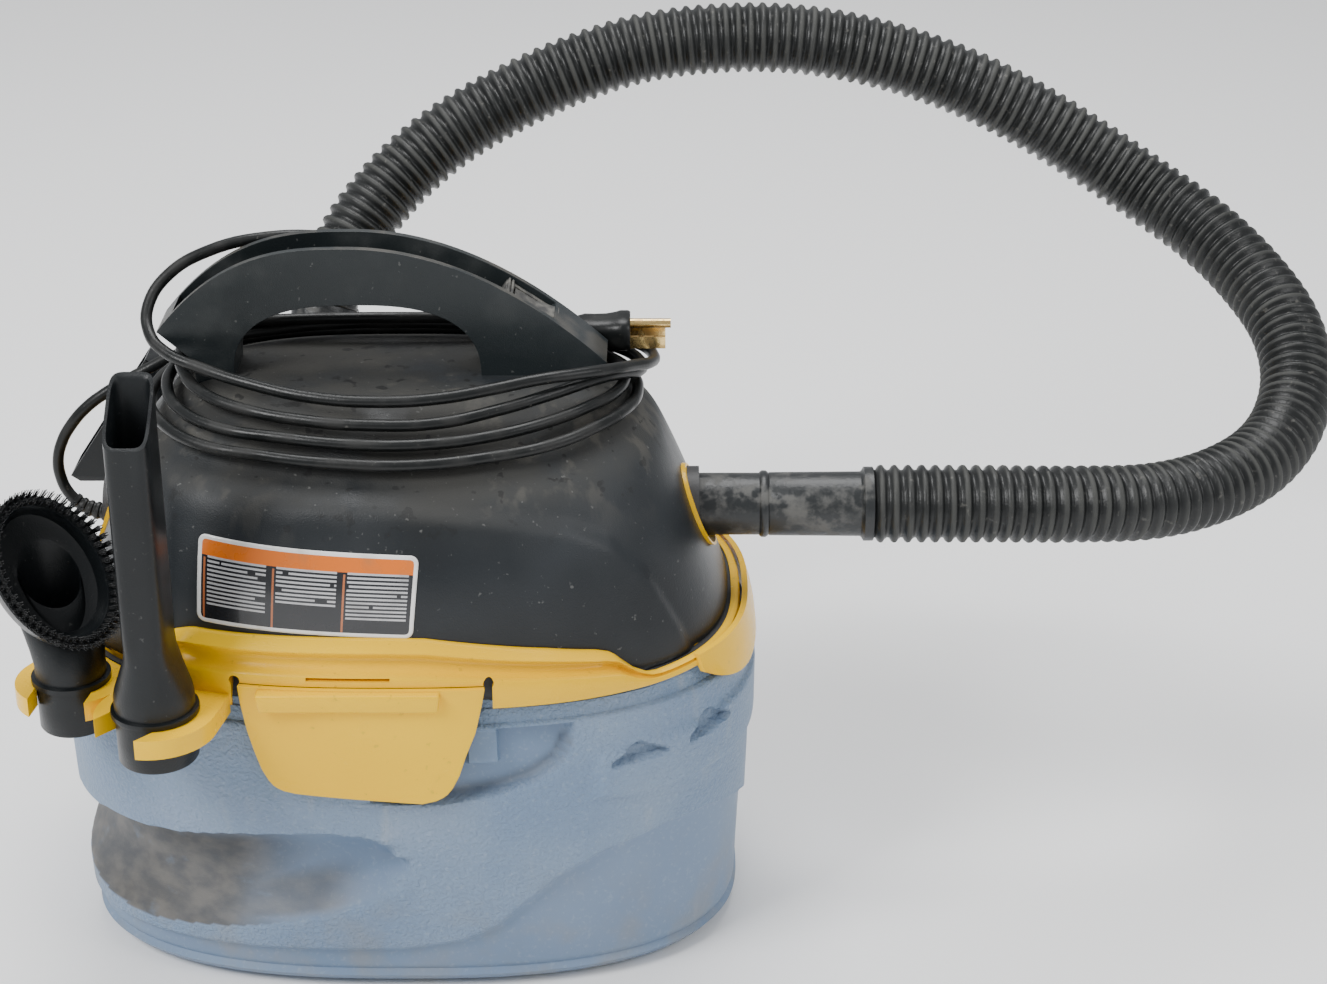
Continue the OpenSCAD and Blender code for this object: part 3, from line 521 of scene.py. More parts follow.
# ---- latch tongues -------------------------------------------------------------------------------
# A broad yellow tongue hangs from the ring at the front and another at the back.
# Each bends at its upper edge, and has a ledge across it for the fingers.
TONGUE_SIDE = ((120.4, 34, 27), (121, 37.5, 31), (122.5, 41, 35), (125, 44.5, 39), (129, 47, 42),
               (136, 50, 45.5), (147, 53, 49), (160, 56, 54), (176, 58.4, 57.6), (184, 59, 59))


def tongue_place(u, v):
    z = 120.4 + 63.8 * v
    left, right = straight(z, TONGUE_SIDE)
    x = GAP_CENTRE - left + (left + right) * u
    z += 5 * (1 - v) ** 3 * (1 - u)
    plan = 128.3 - 0.03 * (184 - z)
    return x, -plan * (1 - abs(x / (HALF_LONG - 4)) ** 2.6) ** (1 / 2.6), z


def faced_front(bm):
    """Turns a front sheet's faces to the front."""
    bm.normal_update()
    if sum(face.normal.y for face in bm.faces) > 0:
        bmesh.ops.reverse_faces(bm, faces=bm.faces)


def mirrored(bm):
    """Mirrors the shape to the back of the tank."""
    bmesh.ops.scale(bm, verts=bm.verts, vec=(1, -1, 1))
    bmesh.ops.reverse_faces(bm, faces=bm.faces)


def thickened(piece, thickness):
    """Gives a sheet its thickness, in millimetres, inwards."""
    wall = piece.modifiers.new("wall", "SOLIDIFY")
    wall.thickness, wall.offset = thickness * MM, -1


def rounded(piece, radius, segments, limit):
    """Rounds the edges that are sharper than limit, in degrees; radius is in millimetres."""
    bevel = piece.modifiers.new("rounded", "BEVEL")
    bevel.width, bevel.segments = radius * MM, segments
    bevel.limit_method, bevel.angle_limit = "ANGLE", math.radians(limit)


for side, name in ((1, "front"), (-1, "rear")):
    tongue_bm = bent_grid(56, 36, tongue_place)
    faced_front(tongue_bm)
    if side == -1:
        mirrored(tongue_bm)
    tongue = finished(tongue_bm, f"{name}_tongue", yellow.material, smooth=45)
    thickened(tongue, 2.6)
    rounded(tongue, 0.5, 2, 30)
    belongs(tongue, f"{name}_latch", "yellow_plastic", f"{name}_latch")
    ledge_bm = cube((88, 8, 10))
    for v in ledge_bm.verts:
        if v.co.y < 0 and v.co.z < 0:
            v.co.y += 1.2 * MM
        if v.co.z < 0:
            v.co.x *= 0.97
    bmesh.ops.bevel(ledge_bm, geom=ledge_bm.edges[:], offset=1.5 * MM, segments=3, profile=0.5,
                    affect="EDGES", material=-1)
    bmesh.ops.translate(ledge_bm, verts=ledge_bm.verts,
                        vec=(GAP_CENTRE * MM - 0.006, -0.1285, 0.1785))
    if side == -1:
        mirrored(ledge_bm)
    ledge = finished(ledge_bm, f"{name}_finger_ledge", yellow.material, smooth=45)
    belongs(ledge, f"{name}_latch", "yellow_plastic")

# ---- motor housing -------------------------------------------------------------------------------
# The black dome over the motor, moulded in polypropylene. A raised panel fills
# its front, and dust lies on everything that faces up.
DOME_WALL = ((174, 11.2, 6.2), (179, 11, 5.5), (204.2, 20, 7), (230.6, 30, 10), (252.2, 39, 17),
             (266.6, 46, 24), (276.2, 53, 37), (288.2, 64, 55), (296, 79, 71), (298.6, 91, 79.5),
             (299, 100, 85))
SHOULDER = ((-118, 268), (-84, 271), (-66, 271), (9, 266), (60, 258), (86, 252), (106, 241),
            (124, 220), (140, 188), (150, 165))
PANEL_OUT, PORT_HIGH, PORT_HOLE = 4.4, 222, 20.4


def dome_skin(z):
    """How far the housing's wall stands in from the plan at height z, as a smooth curve."""
    rows = DOME_WALL
    i = max(0, min(len(rows) - 2, next((k for k in range(len(rows) - 1) if z <= rows[k + 1][0]),
                                       len(rows) - 2)))
    t = min(1, max(0, (z - rows[i][0]) / (rows[i + 1][0] - rows[i][0])))

    def slope(k, col):
        if k <= 0 or k >= len(rows) - 1:
            k = min(max(k, 1), len(rows) - 2)
        return (rows[k + 1][col] - rows[k - 1][col]) / (rows[k + 1][0] - rows[k - 1][0])
    h = rows[i + 1][0] - rows[i][0]
    out = []
    for col in (1, 2):
        a, b, m0, m1 = rows[i][col], rows[i + 1][col], slope(i, col) * h, slope(i + 1, col) * h
        out.append((2 * t ** 3 - 3 * t * t + 1) * a + (t ** 3 - 2 * t * t + t) * m0
                   + (3 * t * t - 2 * t ** 3) * b + (t ** 3 - t * t) * m1)
    return out


def dome_relief(x, y, z):
    """The front panel stands out from the rest of the wall."""
    if y > -20 or z > 285:
        return 0
    edge = straight(x, SHOULDER)[0]
    panel = (1 - eased(z, edge - 3, edge + 5)) * eased(x, -118, -100)
    return PANEL_OUT * panel * eased(-y, 20, 60) * (1 - eased(x, 138, 160))


dome_heights = [174] + [176 + 2.5 * i for i in range(36)] + [
    *(265.5 + 2 * i for i in range(13)), 291.3, 293, 294.6, 296, 297.2, 298, 298.6, 298.9, 299]
DOME_ROWS = len(dome_heights) + 3


def dome_place(u, v):
    i = round(v * DOME_ROWS)
    if i == 0:
        x, y = outline(u, HALF_LONG - 14.5, HALF_DEEP - 9.5)
        return x, y, 174
    if i > len(dome_heights):
        far = (i - len(dome_heights)) / 3
        x, y = outline(u, (HALF_LONG - 100) * (1 - far), (HALF_DEEP - 85) * (1 - far))
        return x, y, 299 + 0.4 * far
    z = dome_heights[i - 1]
    long_in, deep_in = dome_skin(z)
    x, y = outline(u, HALF_LONG - long_in - 1.2, HALF_DEEP - deep_in - 1.6)
    out = dome_relief(x, y, z) / math.hypot(x, y)
    return x * (1 + out * 0.35), y * (1 + out), z


dusty = Finish("dusty_black", 0.5, Specular_IOR_Level=0.34)
high = dusty.height_at(0.235, 0.285)
settled = dusty.times(dusty.times(dusty.upward(0.1, 0.85), dusty.speckle(24, 0.25, 0.62, 5)), high)
drips = dusty.times(dusty.times(dusty.speckle(70, 0.53, 0.66, 4, (1, 1, 0.22)), high),
                    dusty.speckle(9, 0.4, 0.6, 2))
spots = dusty.times(dusty.speckle(120, 0.64, 0.68, 2), high)
bloom = dusty.speckle(9, 0.3, 0.75, 3)
dusty.base(bloom, (0.009, 0.011, 0.013), (0.024, 0.028, 0.032))
dusty.over(settled, 0.6, (0.055, 0.052, 0.044))
dusty.over(drips, 0.35, (0.13, 0.12, 0.1))
dusty.over(spots, 0.8, (0.008, 0.008, 0.008))
dusty.over(dusty.speckle(300, 0.68, 0.78, 2), 0.4, (0.2, 0.2, 0.19))
dusty.shine(dusty.maths("ADD", settled, dusty.times(bloom, 0.4)), 0.34, 0.72)
dusty.bumped(dusty.speckle(1300, 0.3, 0.7, 1), 0.00008, 0.5)
dusty.bumped(dusty.speckle(160, 0.4, 0.75, 4), 0.00012, 0.25)
dome_bm = bent_grid(320, DOME_ROWS, dome_place)
dome_tree = BVHTree.FromBMesh(dome_bm)
dome = finished(dome_bm, "housing_dome", dusty.material, smooth=60)
cut_with(dome, *(rod("port", (x, 0, PORT_HIGH), (x + 70, 0, PORT_HIGH), PORT_HOLE, 64) for x in (120, -190)))
dome.data.set_sharp_from_angle(angle=math.radians(60))
belongs(dome, "head", "black_plastic", "motor_housing")

for node, end in (("hose_port_ring", "right"), ("exhaust_port_ring", "left")):
    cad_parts[node].data.materials.clear()
    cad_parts[node].data.materials.append(yellow.material)

# ---- label ---------------------------------------------------------------------------------------
# A printed sticker on the front of the housing, with a white edge, an orange
# head strip and three plain dark columns. It carries no lettering.
LABEL_CORNERS = ((-89, 251), (17, 246.5), (13, 206.5), (-91, 210))
LABEL_COLUMNS, LABEL_LINES = 106, 41


def on_label(u, v):
    a, b, c, d = (Vector((x, z)) for x, z in LABEL_CORNERS)
    p = d.lerp(c, u).lerp(a.lerp(b, u), v)
    return p.x, p.y


def lies_on_dome(x, z, lift):
    hit = dome_tree.ray_cast(Vector((x * MM, -0.3, z * MM)), Vector((0, 1, 0)))[0]
    return x, hit.y / MM - lift, z


label_bm = bmesh.new()
bmesh.ops.create_grid(label_bm, x_segments=LABEL_COLUMNS, y_segments=LABEL_LINES, size=0.5)
for face in label_bm.faces:
    c = face.calc_center_median()
    px, py = (c.x + 0.5) * LABEL_COLUMNS, (c.y + 0.5) * LABEL_LINES
    edge = min(px, py, LABEL_COLUMNS - px, LABEL_LINES - py)
    column = (px - 3) % 34
    face.material_index = (0 if edge < 1.6 else 1 if py > LABEL_LINES - 9.5
                           else 3 if column < 1 and 3 < px < 100 and py < LABEL_LINES - 10
                           else 2 if not (int(py) % 2 and 2.2 < column < 31.4 and 4 < py
                                          and noise.noise(Vector((px * 0.09, int(py) * 3.7, 0))) > -0.42
                                          and (py > 9 + 6 * ((px // 34) % 2))) else 4)
corner = 4
for v in label_bm.verts:
    px, py = (v.co.x + 0.5) * LABEL_COLUMNS, (v.co.y + 0.5) * LABEL_LINES
    for cx, cy in ((corner, corner), (LABEL_COLUMNS - corner, corner),
                   (corner, LABEL_LINES - corner), (LABEL_COLUMNS - corner, LABEL_LINES - corner)):
        dx, dy = px - cx, py - cy
        outer = (dx < 0) == (cx == corner) and (dy < 0) == (cy == corner) and dx and dy
        if outer:
            pull = max(abs(dx), abs(dy)) / math.hypot(dx, dy)
            px, py = cx + dx * pull, cy + dy * pull
    v.co = Vector(lies_on_dome(*on_label(px / LABEL_COLUMNS, py / LABEL_LINES), 0.45)) * MM
faced_front(label_bm)
inks = []
for ink, paint, worn in (("label_white", (0.82, 0.82, 0.8), (0.62, 0.61, 0.57)),
                         ("label_orange", (0.72, 0.16, 0.01), (0.5, 0.15, 0.03)),
                         ("label_black", (0.014, 0.015, 0.018), (0.03, 0.03, 0.033)),
                         ("label_rule", (0.45, 0.14, 0.05), (0.3, 0.11, 0.05)),
                         ("label_grey", (0.5, 0.5, 0.51), (0.32, 0.32, 0.33))):
    printed = Finish(ink, 0.3, Coat_Weight=0.3)
    scuffs = printed.speckle(70, 0.5, 0.8, 5)
    printed.base(scuffs, paint, worn).shine(scuffs, 0.26, 0.5)
    inks.append(printed.material)
label = finished(label_bm, "housing_label", *inks, smooth=50)
thickened(label, 0.35)
belongs(label, "head", "label", "warning_label")

# ---- handle --------------------------------------------------------------------------------------
# An arched carrying handle over the housing, moulded as a channel that is open
# on top. Its ends overhang as hooks that hold the wound cord.
satin = Finish("satin_black", 0.42, Specular_IOR_Level=0.34)
wear = satin.speckle(30, 0.45, 0.8, 5)
satin.base(satin.speckle(8, 0.3, 0.7, 2), (0.009, 0.012, 0.013), (0.017, 0.022, 0.024))
satin.over(wear, 0.4, (0.075, 0.078, 0.076))
satin.over(satin.times(satin.upward(0.3, 0.9), satin.speckle(45, 0.4, 0.6, 4)), 0.5, (0.11, 0.1, 0.085))
satin.over(satin.speckle(380, 0.7, 0.78, 2), 0.3, (0.2, 0.2, 0.19))
satin.shine(wear, 0.33, 0.56).bumped(satin.speckle(1400, 0.3, 0.7, 1), 0.00007, 0.45)


def rounded_copy(node, name, material, radius, segments=3, limit=38):
    """The CAD node's own shape with its doubled points joined and its edges rounded."""
    bm = bmesh.new()
    bm.from_mesh(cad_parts[node].data)
    bmesh.ops.remove_doubles(bm, verts=bm.verts, dist=5e-6)
    bmesh.ops.dissolve_limit(bm, angle_limit=math.radians(1.5), verts=bm.verts, edges=bm.edges)
    copy = finished(bm, name, material, smooth=30)
    rounded(copy, radius, segments, limit)
    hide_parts(node)
    return copy


ARCH_LEFT, ARCH_PEAK, ARCH_RIGHT, ARCH_TOP = -117, -22, 104, 365


def arch_at(x):
    """Height of the handle's upper edge at x."""
    if x < ARCH_PEAK:
        return ARCH_TOP - 43 * ((ARCH_PEAK - x) / (ARCH_PEAK - ARCH_LEFT)) ** 2.8
    return ARCH_TOP - 59 * ((x - ARCH_PEAK) / (ARCH_RIGHT - ARCH_PEAK)) ** 2


def grip_at(turn, grown=0):
    """A point on the rim of the finger opening, by turn from 0 at its right foot to 0.5."""
    c, s = math.cos(math.tau * turn), math.sin(math.tau * turn)
    return (-19 + (61 + grown) * math.copysign(abs(c) ** 0.75, c),
            299 + (37 + grown) * max(0, s) ** 0.8)


def plate(name, points, low, high, material=None):
    """A flat shape in x and z, in millimetres, drawn out from y = low to y = high."""
    bm = bmesh.new()
    bm.faces.new([bm.verts.new((x * MM, low * MM, z * MM)) for x, z in points])
    drawn_out(bm, 0, high - low, 0)
    return finished(bm, name, *([material] if material else []), smooth=35)


arch = [(x, arch_at(x)) for x in [ARCH_LEFT + (ARCH_RIGHT - ARCH_LEFT) * i / 60 for i in range(61)]]
grip = [grip_at(0.5 - 0.5 * i / 36) for i in range(37)]
handle = plate("carrying_handle",
               [(-98, 276), (-100, 307), *arch, (95, 296), (93, 276), (42, 276)]
               + grip[::-1] + [(-80, 276)], -15, 15, satin.material)
channel = plate("channel", [(-109, 313)] + [(-109, 380), (82, 380), (82, 330)]
                + [grip_at(0.02 + 0.46 * i / 30, 9) for i in range(31)], -11, 11)
cut_with(handle, channel)
handle.data.set_sharp_from_angle(angle=math.radians(35))
rounded(handle, 1.6, 3, 40)
belongs(handle, "head", "black_plastic", "handle")

# ---- power switch --------------------------------------------------------------------------------
# A rocker in a housing that fills the channel at the handle's right shoulder.
# Dust has settled in the ribs round it.
SWITCH_X, SWITCH_TILT = 71, math.radians(34)
dusty_grey = Finish("dusty_switch", 0.62, Specular_IOR_Level=0.3)
film = dusty_grey.speckle(120, 0.35, 0.65, 4)
dusty_grey.base(film, (0.05, 0.05, 0.05), (0.15, 0.145, 0.13)).shine(film, 0.5, 0.8)
dusty_grey.bumped(film, 0.0003, 0.4)
at_switch = (Matrix.Translation((SWITCH_X * MM, 0, arch_at(SWITCH_X) * MM))
             @ Matrix.Rotation(SWITCH_TILT, 4, "Y"))


def little_block(name, size, centre, matrix, material, radius):
    bm = cube(size)
    bmesh.ops.bevel(bm, geom=bm.edges[:], offset=radius * MM, segments=2, profile=0.5,
                    affect="EDGES", material=-1)
    bmesh.ops.translate(bm, verts=bm.verts, vec=Vector(centre) * MM)
    bmesh.ops.transform(bm, verts=bm.verts, matrix=matrix)
    return finished(bm, name, material)


switch_body = rounded_copy("power_switch", "switch_body", dusty_grey.material, 0.5)
belongs(switch_body, "head", "black_plastic")
for i, x in enumerate((-17, -15, 15, 17)):
    rib = little_block(f"switch_rib_{i}", (1.1, 21, 1.6), (x, 0, -2.4), at_switch, dusty_grey.material, 0.3)
    belongs(rib, "head", "black_plastic")
rocker = rounded_copy("switch_rocker", "switch_rocker_cap", dusty_grey.material, 0.8)
belongs(rocker, "switch", "grey_plastic")

# ---- forks for the tools and the hose end --------------------------------------------------------
# Thick yellow prongs moulded onto the ring hold the tools by their cuffs, and
# a third holds the smooth end of the hose behind the tank.
for node in ("front_tool_fork", "rear_tool_fork", "hose_holder"):
    fork = rounded_copy(node, node + "_rounded", yellow.material, 1.6, 3, 30)
    belongs(fork, "head", "yellow_plastic")

# ---- crevice tool --------------------------------------------------------------------------------
# A flat oblong tube with a slanted mouth, flared to a round end that the hose
# fits. A thin ridge stops it on the fork.
TOOL_AT = (-108, -136)


# rows: height, half width, half depth, how square the slice is
CREVICE_ROWS = ((155, 16.4, 16.4, 2), (154, 17.6, 17.6, 2), (154, 18.4, 18.4, 2), (155, 19, 19, 2),
                (166, 19, 19, 2), (178, 19, 19, 2), (178.4, 20.8, 20.8, 2), (179.4, 21, 21, 2),
                (181, 20.8, 20.8, 2), (181.4, 19, 19, 2), (188, 19, 19, 2), (192, 18, 18.6, 2.1),
                (202, 14.4, 17.7, 2.4), (210, 11.6, 17.1, 3), (216, 10.6, 17, 4), (222, 10.5, 17, 4.5),
                (240, 10.5, 17, 5), (280, 10.5, 17, 5), (300, 10.5, 17, 5), (322, 10.5, 17, 5),
                (344, 10.5, 17, 5), (344, 10.1, 16.6, 5), (343.8, 9, 15.4, 5),
                (342, 8.4, 14.9, 5), (280, 8.4, 14.9, 5), (216, 8.4, 14.8, 4.5),
                (202, 12, 15.4, 2.4), (188, 16.4, 16.4, 2))


def mouth_slant(y, z):
    """The tool's mouth is cut off on a slant, low at the front."""
    share = eased(z, 290, 344)
    return z - share * 0.72 * max(0, 17 - y)


def crevice_place(u, v):
    z, wide, deep, power = CREVICE_ROWS[round(v * len(CREVICE_ROWS)) % len(CREVICE_ROWS)]
    x, y = outline(u, wide, deep, power)
    return TOOL_AT[0] + x, TOOL_AT[1] + y, mouth_slant(y, z)


tool_black = Finish("tool_black", 0.4, Specular_IOR_Level=0.3)
rub = tool_black.speckle(40, 0.5, 0.8, 5, (1, 1, 0.35))
tool_black.base(tool_black.speckle(9, 0.3, 0.7, 2), (0.004, 0.005, 0.006), (0.009, 0.011, 0.012))
tool_black.over(rub, 0.25, (0.035, 0.04, 0.043))
tool_black.over(tool_black.speckle(330, 0.68, 0.78, 2), 0.25, (0.16, 0.16, 0.15))
tool_black.shine(rub, 0.34, 0.52).bumped(tool_black.speckle(1300, 0.3, 0.7, 1), 0.00007, 0.5)
crevice = finished(bent_grid(72, len(CREVICE_ROWS), crevice_place), "crevice_tool_body",
                   tool_black.material, smooth=38)
belongs(crevice, "crevice_tool", "black_plastic", "crevice_tool")

# ---- dusting brush -------------------------------------------------------------------------------
# An oval cup on a round neck, with a double row of stiff bristle tufts set
# into its rim. The cup is turned to face forward and up.
BRUSH_AT = (-154, -104)
HEAD_AT = Vector((-156, -109, 238))
HEAD_TURN = (Matrix.Rotation(math.radians(28), 3, "Z") @ Matrix.Rotation(math.radians(62), 3, "X")
             @ Matrix.Rotation(math.radians(20), 3, "Z"))


def on_head(turn, wide, deep, out):
    """A point on an oval in the plane of the brush's face, out from it, in millimetres."""
    c, s = math.cos(math.tau * turn), math.sin(math.tau * turn)
    return HEAD_AT + HEAD_TURN @ Vector((wide * c, deep * s, out))


# rows: on the neck (height, radius) or on the head (half width, half length, out)
NECK_OUT = (("n", 188, 17), ("n", 181.4, 17), ("n", 181, 19), ("n", 179.4, 19), ("n", 178.4, 19),
            ("n", 178, 17), ("n", 166, 17), ("n", 155, 17), ("n", 154, 16.4), ("n", 154, 15.2),
            ("n", 155, 14.6), ("n", 176, 14.4), ("n", 188, 14))
HEAD_IN = (("h", 14, 18, -13), ("h", 16, 24, -12.4), ("h", 19.6, 30.5, -10.6), ("h", 21, 32.8, -6),
           ("h", 21.4, 33.4, -0.6), ("h", 22, 34, 0.2), ("h", 26.2, 38.2, 0.2), ("h", 27, 39, -0.6),
           ("h", 27.2, 39.2, -6), ("h", 26.6, 38.6, -13), ("h", 24, 35, -15.6))
brush_rows = NECK_OUT + HEAD_IN


def neck_to_head(u, share, first, last):
    """Between the neck's top ring and the head's back ring, on a smooth bend."""
    c, s = math.cos(math.tau * u), math.sin(math.tau * u)
    a = Vector((BRUSH_AT[0] + first * c, BRUSH_AT[1] + first * s, 188))
    b = on_head(u - 0.13, *last)
    lift = Vector((0, 0, 31.2)) * share * (1 - share)
    return a.lerp(b, eased(share, 0, 1) * 0.5 + share * 0.5) + lift


def brush_place(u, v):
    count = len(brush_rows) + 12
    i = round(v * count) % count
    if i < len(NECK_OUT):
        kind, z, r = NECK_OUT[i]
        x, y = outline(u, r, r, 2)
        return BRUSH_AT[0] + x, BRUSH_AT[1] + y, z
    i -= len(NECK_OUT)
    if i < 6:
        return neck_to_head(u, (i + 1) / 7, 14, (14, 18, -13))
    i -= 6
    if i < len(HEAD_IN):
        return on_head(u - 0.13, *HEAD_IN[i][1:])
    i -= len(HEAD_IN)
    return neck_to_head(u, 1 - (i + 1) / 7, 17, (24, 35, -15.6))


brush = finished(bent_grid(64, len(brush_rows) + 12, brush_place), "dusting_brush_body",
                 tool_black.material, smooth=40)
belongs(brush, "dusting_brush", "black_plastic", "dusting_brush")
bristle_black = Finish("bristle_black", 0.55, Specular_IOR_Level=0.3)
tips = bristle_black.speckle(260, 0.4, 0.7, 3)
bristle_black.base(tips, (0.012, 0.013, 0.014), (0.05, 0.05, 0.05))
bristle_black.shine(tips, 0.45, 0.7).bumped(bristle_black.speckle(2500, 0.3, 0.7, 1), 0.0001, 0.5)
random.seed(11)
tuft_bm = bmesh.new()
for row, (wide, deep, count, lean) in enumerate(((23.2, 35.2, 52, 0.5), (25.6, 37.6, 58, 2.2))):
    for k in range(count):
        turn = (k + 0.5 * row) / count
        length = 11.5 + random.uniform(-1, 1)
        for strand in range(9):
            spread = 0.9 * math.sqrt(strand / 9)
            away = Vector((spread * math.cos(strand * 2.4), spread * math.sin(strand * 2.4), 0))
            root = on_head(turn, wide, deep, -0.6) + HEAD_TURN @ away
            tip = (on_head(turn, wide + lean, deep + lean, length + random.uniform(-0.8, 0.6))
                   + HEAD_TURN @ (away * 1.7))
            run = tip - root
            hair = bmesh.ops.create_cone(tuft_bm, segments=4, radius1=0.34 * MM, radius2=0.24 * MM,
                                         depth=run.length * MM, cap_ends=True)
            lay = aimed(root * MM, run * MM)
            bmesh.ops.transform(tuft_bm, matrix=lay, verts=hair["verts"])
bristles = finished(tuft_bm, "bristle_tufts", bristle_black.material, smooth=0)
belongs(bristles, "dusting_brush", "bristle", "brush_bristles")

# ---- utility nozzle ------------------------------------------------------------------------------
# A wide flat nozzle for floors, held by its round end behind the tank with its
# mouth turned out to the left.
nozzle = rounded_copy("utility_nozzle", "utility_nozzle_body", tool_black.material, 1.0, 2, 30)
belongs(nozzle, "utility_nozzle", "black_plastic")

# ---- power cord ----------------------------------------------------------------------------------
# Some 2.7 m of round black rubber cord leave the left end of the housing, rise
# outside it, and are wound on under the ends of the handle.
cord_rubber = Finish("cord_rubber", 0.42, Specular_IOR_Level=0.32)
dull = cord_rubber.speckle(60, 0.4, 0.75, 4)
cord_rubber.base(dull, (0.006, 0.007, 0.007), (0.018, 0.018, 0.017))
cord_rubber.over(cord_rubber.speckle(420, 0.66, 0.78, 3), 0.4, (0.15, 0.145, 0.13))
cord_rubber.shine(dull, 0.32, 0.55).bumped(cord_rubber.speckle(900, 0.3, 0.7, 2), 0.0001, 0.3)
CORD_ROUTE = [
    # from the gland up the left end of the housing
    (-157, 30, 203), (-165, 30.5, 203.8), (-173, 31, 207.2), (-179.5, 32, 213.5), (-183, 33, 222),
    (-183.5, 33, 231.5), (-180.5, 33, 242), (-174.5, 33, 252), (-166, 33, 261.5), (-156, 33.5, 269),
    (-145, 34.5, 275.5), (-134, 37, 281), (-121, 41, 286.5),
    # first turn, lowest: along the back, round the right foot and along the front
    (-104, 47, 290), (-78, 54, 291.5), (-40, 57, 292.5), (0, 58, 293), (40, 57, 292.5), (76, 52, 291),
    (98, 42, 288.5), (110, 30, 287.5), (117, 14, 287), (119, -6, 287), (114, -30, 288), (100, -52, 288),
    (78, -70, 286), (46, -81, 284), (12, -86, 282.5), (-24, -85, 283), (-60, -79, 284.5),
    (-92, -66, 285), (-112, -46, 287.5), (-121, -26, 289.5), (-121, -6, 291), (-114, 14, 293),
    # second turn
    (-100, 32, 295.5), (-76, 42, 297.5), (-38, 47, 299), (2, 48, 299.5), (42, 47, 299), (72, 43, 296.5),
    (92, 36, 293.5), (104, 26, 292), (111, 10, 292.5), (112.5, -6, 293.5), (108, -26, 294.5),
    (96, -44, 295), (76, -60, 293.5), (50, -72, 291.5), (18, -78, 289.7), (-16, -78, 289.7),
    (-50, -73, 291), (-82, -62, 291.5), (-103, -44, 293.5), (-112, -24, 296), (-112.5, -4, 298),
    (-105, 14, 301),
    # third turn
    (-90, 25, 303), (-66, 33, 304.5), (-34, 38.5, 305.5), (2, 39.5, 305.6), (38, 39.5, 304.5),
    (70, 42, 300), (94, 43, 294.5), (111, 36, 292.5), (120, 22, 292), (120, 4, 294), (111, -13, 299.5),
    (98, -30, 303), (78, -48, 303), (52, -61, 300), (24, -69, 296.8), (-8, -70, 296.2),
    (-40, -66, 297), (-70, -56, 298.5), (-92, -40, 300.5), (-104, -21, 303.5), (-108, -4, 306),
    (-107, 11, 307),
    # fourth turn, highest
    (-98, 23, 308.5), (-82, 30, 309.5), (-58, 32, 310.5), (-30, 32.5, 311), (4, 33, 311), (38, 35, 310),
    (64, 40, 306), (86, 45.5, 300), (106, 45, 296), (121, 35, 295), (127, 20, 295.5), (125, 2, 299),
    (117, -14, 304), (106, -30, 308.5), (90, -42, 311), (72, -50, 311.5), (50, -56, 309), (26, -60, 306),
    (-4, -61, 304.5), (-36, -57, 305), (-66, -47, 307.5), (-92, -34, 310.5), (-112, -22, 314.5),
    # a loose high loop behind the handle, down to the plug
    (-121.5, -10, 320), (-123, 2, 330), (-114, 12, 342), (-95, 20, 351.5), (-66, 25, 357),
    (-34, 28, 356), (-4, 30.5, 350), (21, 32, 340), (39, 32, 328), (51, 30.5, 316.5),
    (61, 29, 309), (70, 28, 306.3), (80, 28, 306)]


def laid_cord(name, route, radius, material):
    """A round cord on a smooth line through the route, in millimetres."""
    line = bpy.data.curves.new(name, "CURVE")
    line.dimensions = "3D"
    line.bevel_depth = radius * MM
    line.bevel_resolution = 4
    line.resolution_u = 6
    line.use_fill_caps = True
    spline = line.splines.new("BEZIER")
    spline.bezier_points.add(len(route) - 1)
    for knot, p in zip(spline.bezier_points, route):
        knot.co = Vector(p) * MM
        knot.handle_left_type = knot.handle_right_type = "AUTO"
    line.materials.append(material)
    piece = bpy.data.objects.new(name, line)
    bpy.context.collection.objects.link(piece)
    return piece


power_cord = laid_cord("power_cord", CORD_ROUTE, 3, cord_rubber.material)
belongs(power_cord, "head", "cord_rubber", "cord_lead", "cord_winding")


def smooth_line(route, step):
    """Points about step apart on a smooth line through the route."""
    pts = [Vector(p) for p in route]
    pts = [pts[0] * 2 - pts[1], *pts, pts[-1] * 2 - pts[-2]]
    dense = []
    for a, b, c, d in zip(pts, pts[1:], pts[2:], pts[3:]):
        for k in range(40):
            t = k / 40
            dense.append(0.5 * (2 * b + (c - a) * t + (2 * a - 5 * b + 4 * c - d) * t * t
                                + (3 * b - a - 3 * c + d) * t ** 3))
    dense.append(pts[-2])
    runs = [0.0]
    for a, b in zip(dense, dense[1:]):
        runs.append(runs[-1] + (b - a).length)
    count = round(runs[-1] / step)
    line, k = [], 0
    for i in range(count + 1):
        at = runs[-1] * i / count
        while k < len(runs) - 2 and runs[k + 1] < at:
            k += 1
        line.append(dense[k].lerp(dense[k + 1], (at - runs[k]) / max(1e-9, runs[k + 1] - runs[k])))
    return line


def swept(line, sides, radius_at):
    """A round tube along a line of points; radius_at gives its radius by the point's number."""
    frames, up = [], Vector((0.1, 0.2, 1))
    for i, p in enumerate(line):
        ahead = (line[min(i + 1, len(line) - 1)] - line[max(i - 1, 0)]).normalized()
        up = (up - ahead * up.dot(ahead)).normalized()
        frames.append((p, up.copy(), ahead.cross(up)))

    def place(u, v):
        i = round(v * (len(line) + 1)) - 1
        k = min(max(i, 0), len(line) - 1)
        p, a, b = frames[k]
        r = radius_at(k) if k == i else 0
        return p + (a * math.cos(math.tau * u) + b * math.sin(math.tau * u)) * r
    return bent_grid(sides, len(line) + 1, place)


